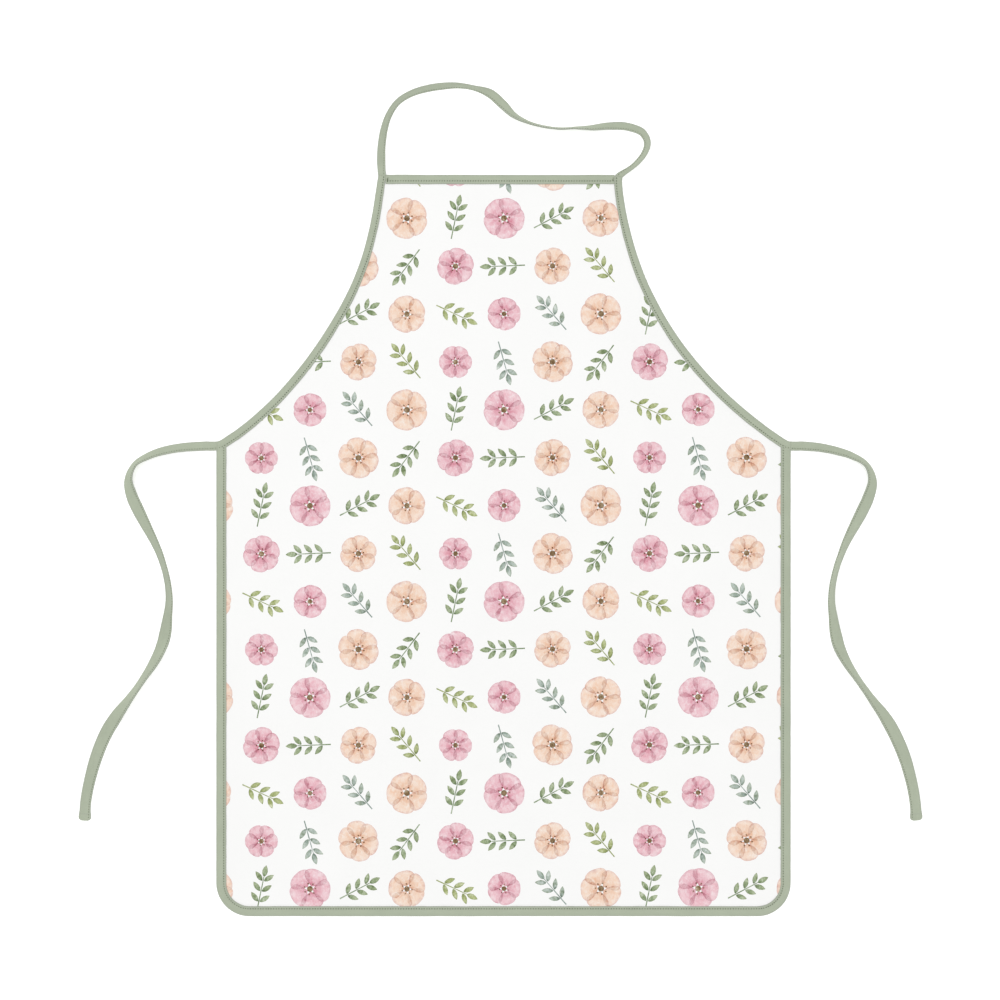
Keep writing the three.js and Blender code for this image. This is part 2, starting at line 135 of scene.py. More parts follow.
class Route:
    """Sections down a tape: middle p, direction across it, width, lean, and the
    height z of the middle, all in mm, evenly spaced along s."""

    def __init__(self, p, across, w, lean, step=1.0):
        s = np.concatenate([[0], np.cumsum(np.linalg.norm(np.diff(p, axis=0), axis=1))])
        n = max(2, int(round(s[-1] / step)) + 1)
        u = np.linspace(0, s[-1], n)
        pick = lambda v: np.interp(u, s, v)
        self.s = u
        self.p = np.stack([pick(p[:, 0]), pick(p[:, 1])], 1)
        a = np.stack([pick(across[:, 0]), pick(across[:, 1])], 1)
        self.a = a / np.linalg.norm(a, axis=1)[:, None]
        self.w = pick(w)
        self.lean = pick(lean)
        self.z = np.full(n, BINDING_T / 2)

    def cut(self, keep):
        """A part of the route, by a mask, with its s kept."""
        out = Route.__new__(Route)
        for k in ("s", "p", "a", "w", "lean", "z"):
            setattr(out, k, getattr(self, k)[keep])
        return out

    def at(self, s, u, v):
        """Points in space at distance s along, u mm across from the middle and v mm
        through the tape."""
        f = lambda c: np.interp(s, self.s, c)
        ax, ay = f(self.a[:, 0]), f(self.a[:, 1])
        lean = f(self.lean)
        c, sn = np.cos(lean), np.sin(lean)
        h = u * c - v * sn
        return np.stack([f(self.p[:, 0]) + ax * h, f(self.p[:, 1]) + ay * h,
                         f(self.z) + u * sn + v * c], -1)

    def width(self, s):
        return np.interp(s, self.s, self.w)


def tape_route(rows, step=1.0):
    size = spline([[r[2], r[3]] for r in rows])
    line = spline([[r[0], r[1]] for r in rows])
    tan = np.gradient(np.array([[r[0], r[1]] for r in rows], float), axis=0)
    p = np.array([[r[0], r[1]] for r in rows], float)
    # tangent at each row, as the curve has it
    q = np.vstack([2 * p[0] - p[1], p, 2 * p[-1] - p[-2]])
    tan = (q[2:] - q[:-2]) / 2
    across = []
    for i, r in enumerate(rows):
        a = np.array(r[4:6], float) if len(r) > 4 else np.array([-tan[i][1], tan[i][0]])
        across.append(a / np.linalg.norm(a))
    return Route(line, spline(across), size[:, 0], np.radians(size[:, 1]), step)


def lerp_width(y):
    t = min(1, max(0, (TOP_Y - y) / (TOP_Y - 107)))
    return W_TOP + (W_WAIST - W_TOP) * t


def middle_of(edge, side):
    p = np.array(edge, float)
    q = np.vstack([2 * p[0] - p[1], p, 2 * p[-1] - p[-2]])
    tan = (q[2:] - q[:-2]) / 2
    out = []
    for (x, y), t in zip(edge, tan):
        n = np.array([-t[1], t[0]]) / np.linalg.norm(t) * (1 if side < 0 else -1)
        w = lerp_width(y)
        out.append([x + n[0] * w / 2, y + n[1] * w / 2, w, 0])
    return out


def waist_turn(side):
    return [[side * 295.4, 109.2, 9.8, 0], [side * 302.0, 104.9, 9.8, 0], [side * 306.6, 102.7, 9.8, 0],
            [side * 311.4, 102.15, 9.8, 0], [side * 316, 102.05, 9.9, 0], [side * (HALF_WIDTH + STUB), 102.2, 10, 0]]


# The strap's right end as it lies: it comes down along the top binding's upper edge
# and turns onto the armhole. [x, y, width, lean, direction across]
LOOP = [[95.5, 445.5, 9.9, -48], [112.8, 447.5, 8.6, -18], [130, 447.4, 8.8, 20], [146.2, 442.9, 9.1, 33],
        [153.0, 436.4, 9.2, 40], [155.3, 429.2, 9.2, 42]]
TURN = [[154.0, 421.9, 8.7, 41, 0.95, -0.31], [151.2, 416.5, 8.1, 39, 0.84, -0.53], [147.1, 411.1, 7.5, 36, 0.75, -0.66],
        [141.8, 405.7, 6.4, 29, 0.66, -0.75], [135.3, 400.8, 6.0, 23, 0.58, -0.81], [129.7, 397.3, 6.6, 16, 0.68, -0.73],
        [125.7, 394.4, 8.0, 8, 0.90, -0.43], [123.8, 390.8, 8.7, 0, 1, 0]]

left_mid, right_mid = middle_of(LEFT_ARMHOLE, -1), middle_of(RIGHT_ARMHOLE, 1)
left_tape = tape_route(waist_turn(-1)[::-1] + left_mid[::-1] + [[-131.5, 399.5, 8.7, 0], [-131.8, TOP_Y + STUB, 8.8, 0]])
for r in right_mid:
    r[0] -= 1.0 * min(1, max(0, (r[1] - 320) / 60))
right_tape = tape_route([list(r) for r in TURN] + [r for r in right_mid if r[1] < 383] + waist_turn(1))
left_tie = tape_route(LEFT_TIE_LINE)
right_tie = tape_route(RIGHT_TIE_LINE)
strap = tape_route(NECK_STRAP_LINE[:18] + LOOP + [list(r[:4]) for r in TURN[:2]])


def settle(route, start, end):
    """Lets a free tape lie on its lower edge, from the binding's height at its roots."""
    total = route.s[-1]
    lying = np.abs(np.sin(route.lean)) * route.w / 2 + np.abs(np.cos(route.lean)) * TAPE_T / 2 + 0.02
    near = np.full(len(route.s), np.inf)
    if start:
        near = np.minimum(near, route.s)
    if end:
        near = np.minimum(near, total - route.s)
    root = BINDING_T / 2 - np.maximum(0, near - 8) * 0.05
    route.z = np.maximum(lying, root)


for r in (left_tape, right_tape):
    r.z = np.maximum(BINDING_T / 2, np.abs(np.sin(r.lean)) * r.w / 2 + np.cos(r.lean) * BINDING_T / 2 + 0.02)
settle(left_tie, True, False)
settle(right_tie, True, False)
settle(strap, True, False)


def join(parts, step=1.0):
    """One route from several that follow each other. Its ends stay as they are."""
    out = Route.__new__(Route)
    for k in ("p", "a", "w", "lean", "z"):
        setattr(out, k, np.concatenate([getattr(r, k) for r in parts]))
    s = np.concatenate([[0], np.cumsum(np.linalg.norm(np.diff(out.p, axis=0), axis=1))])
    keep = np.concatenate([[True], np.diff(s) > 0.15])
    keep[-1] = True
    for k in ("p", "a", "w", "lean", "z"):
        setattr(out, k, getattr(out, k)[keep])
    s = s[keep]
    n = int(round(s[-1] / step)) + 1
    u = np.linspace(0, s[-1], n)
    for k in ("w", "lean", "z"):
        setattr(out, k, np.interp(u, s, getattr(out, k)))
    out.p = np.stack([np.interp(u, s, out.p[:, i]) for i in (0, 1)], 1)
    a = np.stack([np.interp(u, s, out.a[:, i]) for i in (0, 1)], 1)
    out.s = u
    # soften the joins, but not the two ends
    t = np.clip(np.minimum(u, u[-1] - u) / 5.0, 0, 1)
    kern = np.array([1, 2, 3, 4, 5, 4, 3, 2, 1]) / 25

    def soft(v):
        pad = np.concatenate([np.full(4, v[0]), v, np.full(4, v[-1])])
        return v * (1 - t) + np.convolve(pad, kern, "valid") * t

    for k in ("w", "lean", "z"):
        setattr(out, k, soft(getattr(out, k)))
    a = np.stack([soft(a[:, 0]), soft(a[:, 1])], 1)
    out.a = a / np.linalg.norm(a, axis=1)[:, None]
    return out


def between(route, i, j):
    """Sections i to j of a route, both included."""
    keep = np.zeros(len(route.s), bool)
    keep[i:j + 1] = True
    return route.cut(keep)


def flipped(route):
    """The same route travelled the other way."""
    out = Route.__new__(Route)
    total = route.s[-1]
    out.s = total - route.s[::-1]
    for k in ("p", "w", "z"):
        setattr(out, k, getattr(route, k)[::-1])
    out.a = -route.a[::-1]
    out.lean = -route.lean[::-1]
    return out


# Where each binding ends and its tie or the strap goes on: both have this section.
WAIST_CUT, TOP_CUT = HALF_WIDTH - 0.8, TOP_Y - 0.9
lw = int(np.argmax(left_tape.p[:, 0] > -WAIST_CUT))
lt = int(np.argmax(left_tape.p[:, 1] > TOP_CUT))
rt = int(np.argmax(right_tape.p[:, 1] < TOP_CUT))
rw = int(np.argmax(right_tape.p[:, 0] > WAIST_CUT))
left_arm, right_arm = between(left_tape, lw, lt), between(right_tape, rt, rw)
left_free = join([flipped(between(left_tape, 0, lw)), left_tie])
right_free = join([between(right_tape, rw, len(right_tape.s) - 1), right_tie])
start = int(np.argmax(strap.p[:, 1] > TOP_Y + STUB + 0.2))
last = int(np.argmax(np.linalg.norm(strap.p - right_tape.p[0], axis=1) < 1.0))
strap_free = join([between(left_tape, lt, len(left_tape.s) - 1), between(strap, start, last), between(right_tape, 1, rt)])



# ---------------------------------------------------------------- print motifs
# One repeat of the painted meadow print. Shapes are drawn in print units (1 unit
# is 1.08 mm on the cloth, y down) and mixed like thin washes of paint.
def vnoise(x, y, seed=0):
    """Smooth value noise from -1 to 1, seeded, with no tables."""
    x = np.asarray(x, float) + 17.31 * seed
    y = np.asarray(y, float) - 9.73 * seed
    xi, yi = np.floor(x), np.floor(y)
    fx, fy = x - xi, y - yi
    fx, fy = fx * fx * (3 - 2 * fx), fy * fy * (3 - 2 * fy)

    def h(a, b):
        v = np.sin(a * 127.1 + b * 311.7 + seed * 74.7) * 43758.5453
        return (v - np.floor(v)) * 2 - 1

    return ((h(xi, yi) * (1 - fx) + h(xi + 1, yi) * fx) * (1 - fy)
            + (h(xi, yi + 1) * (1 - fx) + h(xi + 1, yi + 1) * fx) * fy)


def along(points, step, ends=True):
    """Catmull-Rom curve through points, resampled to about that step."""
    p = np.asarray(points, float)
    q = np.vstack([2 * p[0] - p[1], p, 2 * p[-1] - p[-2]])
    out = []
    for i in range(1, len(q) - 2):
        for t in np.linspace(0, 1, 12, endpoint=False):
            a, b, c, d = q[i - 1], q[i], q[i + 1], q[i + 2]
            out.append(0.5 * (2 * b + (c - a) * t + (2 * a - 5 * b + 4 * c - d) * t * t
                              + (3 * b - a - 3 * c + d) * t ** 3))
    out.append(p[-1])
    out = np.array(out)
    s = np.concatenate([[0], np.cumsum(np.linalg.norm(np.diff(out, axis=0), axis=1))])
    n = max(2, int(round(s[-1] / step)) + 1)
    u = np.linspace(0, s[-1], n)
    return np.stack([np.interp(u, s, out[:, 0]), np.interp(u, s, out[:, 1])], 1)


SHAPES = []


def lens(base, tip, w, c0, c1, bend=0.0, wide=0.5, eb=0.8, et=0.8, ce=None, edge=0.9,
         vein=0.0, two=0.0, mott=0.16, seed=None, wob=0.05, soft=False, cover=0.55):
    """A leaf or petal: an outline round a bent axis from base to tip."""
    b, t = np.array(base, float), np.array(tip, float)
    d = t - b
    length = float(np.hypot(*d))
    a = d / length
    nrm = np.array([-a[1], a[0]])
    seed = len(SHAPES) if seed is None else seed
    per = 2 * math.hypot(length, w * 0.9)
    n = max(5, int(round(per / 2 / 2.15)))
    k = math.log(0.5) / math.log(wide)
    th = np.linspace(0, math.pi, n + 1)
    s = (1 - np.cos(th)) / 2

    def half(s, side):
        q = np.clip(s, 0, 1) ** k
        e = eb + (et - eb) * s
        h = np.clip(1 - (2 * q - 1) ** 2, 0, 1) ** e
        h = h * (1 + wob * vnoise(s * 3.1 + side * 5, seed * 1.7, 3) * 1.6)
        return h * w / 2

    ax = b + np.outer(s, d) + np.outer(4 * s * (1 - s) * bend * length, nrm)
    left = ax + nrm * half(s, 1)[:, None]
    right = ax - nrm * half(s, -1)[:, None]
    poly = np.vstack([left, right[-2:0:-1]])
    SHAPES.append(dict(poly=poly, kind="lens", b=b, a=a, nrm=nrm, L=length, w=w, bend=bend,
                       c0=np.array(c0) / 250.0, c1=np.array(c1) / 250.0,
                       ce=np.array(ce if ce is not None else (214, 216, 205)) / 250.0,
                       edge=edge, vein=vein, two=two, mott=mott, seed=seed, soft=soft,
                       inner=w > 3.2 or soft, cover=cover))


def leaf(base, tip, w, c0, c1, **k):
    k.setdefault("eb", 0.85)
    k.setdefault("et", 0.95)
    k.setdefault("wide", 0.46)
    k.setdefault("ce", (206, 212, 192))
    lens(base, tip, w, c0, c1, **k)


def petal(base, tip, w, c0, c1, **k):
    k.setdefault("eb", 0.72)
    k.setdefault("et", 0.42)
    k.setdefault("wide", 0.6)
    k.setdefault("ce", (230, 212, 218))
    k.setdefault("mott", 0.22)
    k.setdefault("cover", 0.8)
    lens(base, tip, w, c0, c1, **k)


def accent(cx, cy, rx, ry, ang, c, **k):
    """A darker touch of paint with no hard edge, inside another shape."""
    blob(cx, cy, rx, ry, ang, c, soft=True, edge=0.0, mott=0.4, cover=0.0, **k)


def blob(cx, cy, rx, ry, ang, c0, c1=None, **k):
    a = math.radians(ang)
    u = np.array([math.cos(a), math.sin(a)])
    c = np.array([cx, cy])
    k.setdefault("eb", 0.5)
    k.setdefault("et", 0.5)
    k.setdefault("wide", 0.5)
    lens(c - u * rx, c + u * rx, 2 * ry, c0, c1 or c0, **k)


def stem(points, w0, w1, c, mott=0.3, edge=0.0):
    p = along(points, 4.2)
    t = np.gradient(p, axis=0)
    t /= np.linalg.norm(t, axis=1)[:, None]
    n = np.stack([-t[:, 1], t[:, 0]], 1)
    seed = len(SHAPES)
    w = np.linspace(w0, w1, len(p)) * (1 + 0.12 * vnoise(np.arange(len(p)) * 0.8, seed * 2.3, 5))
    poly = np.vstack([p + n * w[:, None] / 2, (p - n * w[:, None] / 2)[::-1]])
    SHAPES.append(dict(poly=poly, kind="stem", c0=np.array(c) / 250.0, mott=mott, seed=seed, inner=False, cover=0.35))


def dot(x, y, r, c):
    seed = len(SHAPES)
    n = 6 if r < 1.2 else 8
    th = np.linspace(0, 2 * math.pi, n, endpoint=False) + seed
    rr = r * (1 + 0.18 * np.sin(th * 2 + seed * 1.3))
    poly = np.stack([x + rr * np.cos(th), y + rr * np.sin(th)], 1)
    SHAPES.append(dict(poly=poly, kind="dot", c0=np.array(c) / 250.0, mott=0.1, seed=seed, inner=False, cover=0.5))


def near_edge(poly, x, y):
    """Distance from each point to the outline."""
    a = poly
    b = np.roll(poly, -1, axis=0)
    d = b - a
    ll = (d ** 2).sum(1) + 1e-12
    px = x[:, None] - a[None, :, 0]
    py = y[:, None] - a[None, :, 1]
    t = np.clip((px * d[None, :, 0] + py * d[None, :, 1]) / ll[None], 0, 1)
    return np.sqrt((px - t * d[None, :, 0]) ** 2 + (py - t * d[None, :, 1]) ** 2).min(1)


def wash(sh, x, y):
    """Colour that this shape's paint lets through at each point."""
    seed = sh["seed"]
    m = (vnoise(x / 4.3, y / 4.3, seed) * 0.65 + vnoise(x / 1.9, y / 1.9, seed + 40) * 0.35)
    if sh["kind"] != "lens":
        return sh["c0"][None] ** (1 + sh["mott"] * m)[:, None]
    px, py = x - sh["b"][0], y - sh["b"][1]
    s = np.clip((px * sh["a"][0] + py * sh["a"][1]) / sh["L"], 0, 1)
    mid = 4 * s * (1 - s) * sh["bend"] * sh["L"]
    u = (px * sh["nrm"][0] + py * sh["nrm"][1] - mid) / (sh["w"] / 2)
    q = 1 - (1 - s) ** 2
    col = sh["c0"] ** (1 - q)[:, None] * sh["c1"] ** q[:, None]
    dens = 1 + sh["mott"] * m + sh["two"] * np.tanh(u * 2.5) + sh["vein"] * np.exp(-(u / 0.16) ** 2) * (1 - 0.5 * s)
    d = near_edge(sh["poly"], x, y)
    rim = np.exp(-(d / 0.75) ** 1.5) * sh["edge"] * (1 + 0.6 * vnoise(x / 5.0, y / 5.0, seed + 80))
    if sh["soft"]:
        v = np.clip(d / (sh["w"] * 0.28), 0, 1)
        return col ** (dens * v * v * (3 - 2 * v))[:, None]
    return col ** dens[:, None] * sh["ce"][None] ** np.clip(rim, 0, 2)[:, None]


def lay(under, sh, x, y):
    """Paint one shape over what is there: partly clear, partly covering."""
    w = wash(sh, x, y)
    return under * w * (1 - sh["cover"]) + w * sh["cover"] * (0.35 * under.mean(1, keepdims=True) + 0.65)


# -------------------------------------------- a plain all-over print of small flowers
PINK, ROSE = ((226, 150, 168), (246, 206, 214)), ((206, 140, 174), (240, 204, 224))
YELLOW, PEACH = ((214, 186, 92), (240, 222, 156)), ((238, 188, 156), (250, 224, 206))
SAGE, OLIVE, MIST = ((134, 156, 116), (184, 198, 162)), ((156, 168, 104), (204, 212, 160)), ((150, 168, 160), (198, 210, 204))


def daisy(cx, cy, r, n, turn, paint, eye):
    """A round flower: n equal petals at equal angles, and a ring of stamens."""
    for i in range(n):
        a = turn + 2 * math.pi * i / n
        u = np.array([math.cos(a), math.sin(a)])
        c = np.array([cx, cy])
        petal(tuple(c + u * r * 0.14), tuple(c + u * r), 1.9 * r * math.sin(math.pi / n), *paint)
    blob(cx, cy, r * 0.15, r * 0.15, 0, eye)
    for i in range(7):
        a = turn + 0.3 + 2 * math.pi * i / 7
        dot(cx + math.cos(a) * r * 0.27, cy + math.sin(a) * r * 0.27, r * 0.045, eye)


def twig(x, y, size, turn, pairs, paint):
    """A straight twig with equal leaves in pairs and one at its tip."""
    u = np.array([math.cos(turn), math.sin(turn)])
    n = np.array([-u[1], u[0]])
    c = np.array([x, y])
    at = lambda t: c + u * size * (t - 0.5)
    stem([tuple(at(0)), tuple(at(0.4)), tuple(at(0.8))], 1.3, 0.8, paint[0])
    for k in range(pairs):
        t = 0.2 + 0.5 * k / max(1, pairs - 1)
        for s in (-1, 1):
            b = at(t) + n * s * 0.9
            leaf(tuple(b), tuple(b + (n * s * 0.8 + u * 0.75) * size * 0.25), size * 0.12, *paint)
    leaf(tuple(at(0.80)), tuple(at(1.08)), size * 0.13, *paint)


def repeat_cell():
    """Flowers and twigs by turns on an even grid of four by four."""
    flowers = [PINK, YELLOW, PEACH, ROSE]
    greens = [SAGE, MIST, OLIVE]
    for i in range(4):
        for j in range(4):
            x, y, k = 310.0 + 48.5 * i, 410.0 + 47.875 * j, 4 * i + j
            if (i + j) % 2 == 0:
                daisy(x, y, 16.5 + 2.0 * (k % 3), 5 + (k % 2), 0.7 * k, flowers[(i + 2 * (j // 2) + j) % 4], (150, 120, 84))
            else:
                twig(x, y, 42.0, 0.9 * k + 0.4, 3, greens[k % 3])
    for sh in SHAPES:
        if sh["kind"] == "lens" and not sh["soft"]:
            sh["mott"] = max(sh["mott"], 0.26)
            if sh["c0"][1] > sh["c0"][0]:
                sh["edge"] *= 1.2
                sh["vein"] = max(sh["vein"], 0.35)


# --------------------------------------------------------- how the cloth lies
def lift(x, y):
    """How far the cloth stands off the table, in mm, from never being quite flat."""
    e = np.minimum(np.minimum(HALF_WIDTH - np.abs(x), TOP_Y - y), y - BOTTOM_Y)
    e = np.clip(e / 70.0, 0.0, 1.0)
    big = vnoise(x / 175.0 + 3.1, y / 150.0 - 1.7, 11)
    mid = vnoise((x + 0.3 * y) / 74.0, (y - 0.2 * x) / 92.0, 12)
    fine = vnoise(x / 31.0, y / 37.0, 13)
    return (0.25 + 0.75 * e) * np.clip(0.95 + 1.0 * big + 0.42 * mid + 0.09 * fine, 0, 3)


def new_object(name, verts, faces, smooth=True, flat_from=None):
    me = bpy.data.meshes.new(name)
    me.from_pydata([tuple(v) for v in (np.asarray(verts) * MM).tolist()], [], [tuple(f) for f in faces])
    me.validate(clean_customdata=False)
    me.update()
    if smooth:
        me.polygons.foreach_set("use_smooth", [True] * len(me.polygons))
    if flat_from is not None:
        # the cut ends are flat, so that their edge is crisp
        for p in me.polygons[flat_from:]:
            p.use_smooth = False
    ob = bpy.data.objects.new(name, me)
    bpy.context.scene.collection.objects.link(ob)
    return ob


def attribute(ob, name, values, kind="FLOAT_VECTOR"):
    at = ob.data.attributes.new(name, kind, "POINT")
    v = np.asarray(values, np.float32)
    at.data.foreach_set("vector" if kind == "FLOAT_VECTOR" else "value", v.ravel())


def tube(name, points, closed_ends=True):
    """A skin round n sections of m points each."""
    n, m = points.shape[:2]
    i = np.arange(n - 1)[:, None] * m
    j = np.arange(m)[None]
    k = (j + 1) % m
    quads = np.stack([i + j, i + k, i + m + k, i + m + j], -1).reshape(-1, 4)[:, ::-1]
    return points.reshape(-1, 3), quads.tolist()


def ends(faces, n, m, profile_pairs):
    """Closes both ends of a tube with strips across its profile."""
    out = list(faces)
    for base, turn in ((0, 1), ((n - 1) * m, -1)):
        for a, b, c, d in profile_pairs:
            f = [base + a, base + b, base + c, base + d]
            f = list(dict.fromkeys(f))
            if len(f) > 2:
                out.append(f if turn == 1 else f[::-1])
    return out


# Half a folded binding in section: distance in from the open edge (in mm, or from
# the fold with a minus sign), and height over the middle of the cloth.
BIND_TOP = [(0.0, 0.34), (0.02, 0.62), (0.22, 0.90), (0.62, 1.04), (1.15, 1.06), (1.75, 0.98), (2.2, 0.84),
            (2.6, 0.76), (3.0, 0.84), (3.5, 0.98), (4.2, 1.07), (-4.0, 1.09), (-3.1, 1.07), (-2.3, 1.02), (-1.6, 0.93),
            (-1.0, 0.78), (-0.5, 0.56), (-0.15, 0.28)]
BIND_IN = [(-1.1, 0.0), (-1.5, 0.2), (-3.5, 0.24), (1.2, 0.26)]
TIE_TOP = [(0.2, 0.05), (0.0, 0.22), (0.06, 0.42), (0.35, 0.56), (0.8, 0.60), (1.3, 0.57), (1.65, 0.48),
           (2.0, 0.42), (2.35, 0.48), (2.8, 0.57), (3.6, 0.62), (-4.6, 0.65), (-3.8, 0.65), (-2.8, 0.64), (-1.9, 0.60),
           (-1.1, 0.52), (-0.5, 0.38), (-0.2, 0.22)]


# strength of the painted shade along the stitch groove of every tape
SEAM_SHADE = 0.10


def ripple(s, d, w, seed, strength=1.0):
    """Small unevenness of bias tape under its stitches: how much it stands up."""
    st = np.exp(-((d - 2.6) / 1.5) ** 2)
    between = 0.055 * np.cos(2 * np.pi * s / PITCH) * st
    pull = 0.11 * vnoise(s / 5.2 + d / 6.5, d / 7.0 + seed, seed) + 0.08 * vnoise(s / 17.0, d / 9.0 + seed, seed + 3)
    return (between + pull) * strength


def squeeze(w):
    """Scale across a tape that is narrower than usual."""
    return np.clip(np.asarray(w) / 9.2, 0.3, 1.0)


def calm(s, s0, s1, held):
    """Fades the unevenness out at the ends that carry on in another piece."""
    k = np.ones_like(s)
    if held[0]:
        k = k * np.clip((s - s0) / 7.0, 0, 1)
    if held[1]:
        k = k * np.clip((s1 - s) / 7.0, 0, 1)
    return k * k * (3 - 2 * k)


def bind(name, route, s0, s1, seed, step=0.9, held=(True, True), tex=(0.0, 1.0, None), seam=STITCH_IN):
    """Folded binding tape round a raw edge, between two places on its route."""
    n = max(3, int(round((s1 - s0) / step)) + 1)
    s = np.linspace(s0, s1, n)
    w = route.width(s)
    half = BIND_TOP
    loop = ([(d, v, 1) for d, v in half] + [(-0.0001, 0.0, 1)] + [(d, v, -1) for d, v in half[::-1]]
            + [(d, v, -1) for d, v in BIND_IN[::-1][:3]] + [(BIND_IN[0][0], 0.0, 1)] + [(d, v, 1) for d, v in BIND_IN[1:]])
    m = len(loop)
    d = np.array([p[0] for p in loop])[None]
    v = np.array([p[1] for p in loop])[None]
    side = np.array([p[2] for p in loop])[None]
    q = squeeze(w)[:, None]
    D = np.clip(np.where(d < 0, w[:, None] + d * q, d * q * seam / STITCH_IN), 0, w[:, None])
    S = np.repeat(s[:, None], m, 1)
    quiet = calm(s, s0, s1, held)[:, None]
    grow = np.clip(v / 0.9, 0, 1) * quiet
    V = side * v + side * grow * ripple(S, D / q, w[:, None], seed)
    V = np.where(side < 0, np.maximum(V, -1.09), V)
    wob = 0.22 * vnoise(S / 26.0, S * 0 + seed, seed + 5) + 0.08 * vnoise(S / 7.0, S * 0 + seed, seed + 6)
    # the open edge wanders a little, and so does the fold
    inner = np.clip(1 - D / 2.5, 0, 1) * (0.16 * vnoise(S / 8.0, S * 0, seed + 8) + 0.10 * np.cos(2 * np.pi * S / PITCH))
    U = D - w[:, None] / 2 + (wob * 0.6 + inner * np.sign(v + 1e-9)) * quiet
    pts = route.at(S, U, V)
    pts[..., 2] += lift(pts[..., 0], pts[..., 1])
    verts, faces = tube(name, pts)
    # ends: between the outer and inner skin, leg by leg
    t = len(half)
    first, inn = list(range(0, 2 * t + 1)), list(range(2 * t + 1, m))
    caps = []
    outer_top, outer_low = list(range(0, t + 1)), list(range(t, 2 * t + 1))
    inner_low, wall, inner_top = inn[:3], inn[3], inn[4:]
    path_in_top = [inner_top[-1], *inner_top[::-1][1:], wall]
    path_in_low = [wall, *inner_low[::-1]]

    def strips(a, b):
        out = []
        for i in range(max(len(a), len(b)) - 1):
            a0, a1 = a[min(i * (len(a) - 1) // (max(len(a), len(b)) - 1), len(a) - 1)], a[min((i + 1) * (len(a) - 1) // (max(len(a), len(b)) - 1), len(a) - 1)]
            b0, b1 = b[min(i * (len(b) - 1) // (max(len(a), len(b)) - 1), len(b) - 1)], b[min((i + 1) * (len(b) - 1) // (max(len(a), len(b)) - 1), len(b) - 1)]
            out.append((a0, a1, b1, b0))
        return out

    caps += strips(outer_top, path_in_top)
    caps += strips(outer_low, path_in_low)
    skin = len(faces)
    faces = ends(faces, n, m, caps)
    ob = new_object(name, verts, faces, flat_from=skin)
    edge = np.minimum(D, w[:, None] - D)
    # painted shade: the tape darkens towards both folded edges, where it turns away from the light, and along its
    # stitch groove
    shade = np.clip(np.exp(-(edge / 0.9) ** 2) * 0.9 + SEAM_SHADE * np.exp(-((D / q - seam) / 0.62) ** 2) * (np.abs(v) > 0.3), 0, 1)
    place = [tex[0] + tex[1] * S, D, np.full_like(S, (seed if tex[2] is None else tex[2]) * 37.0)]
    attribute(ob, "along", np.stack(place, -1).reshape(-1, 3) * MM)
    attribute(ob, "shade", shade.ravel(), "FLOAT")
    return ob


def root_of(s, total, root):
    """How much of the binding's section a tie or the strap still has, 1 at its root."""
    return np.exp(-(s / 8.0) ** 2) * (1 if root[0] else 0) + np.exp(-((total - s) / 8.0) ** 2) * (1 if root[1] else 0)


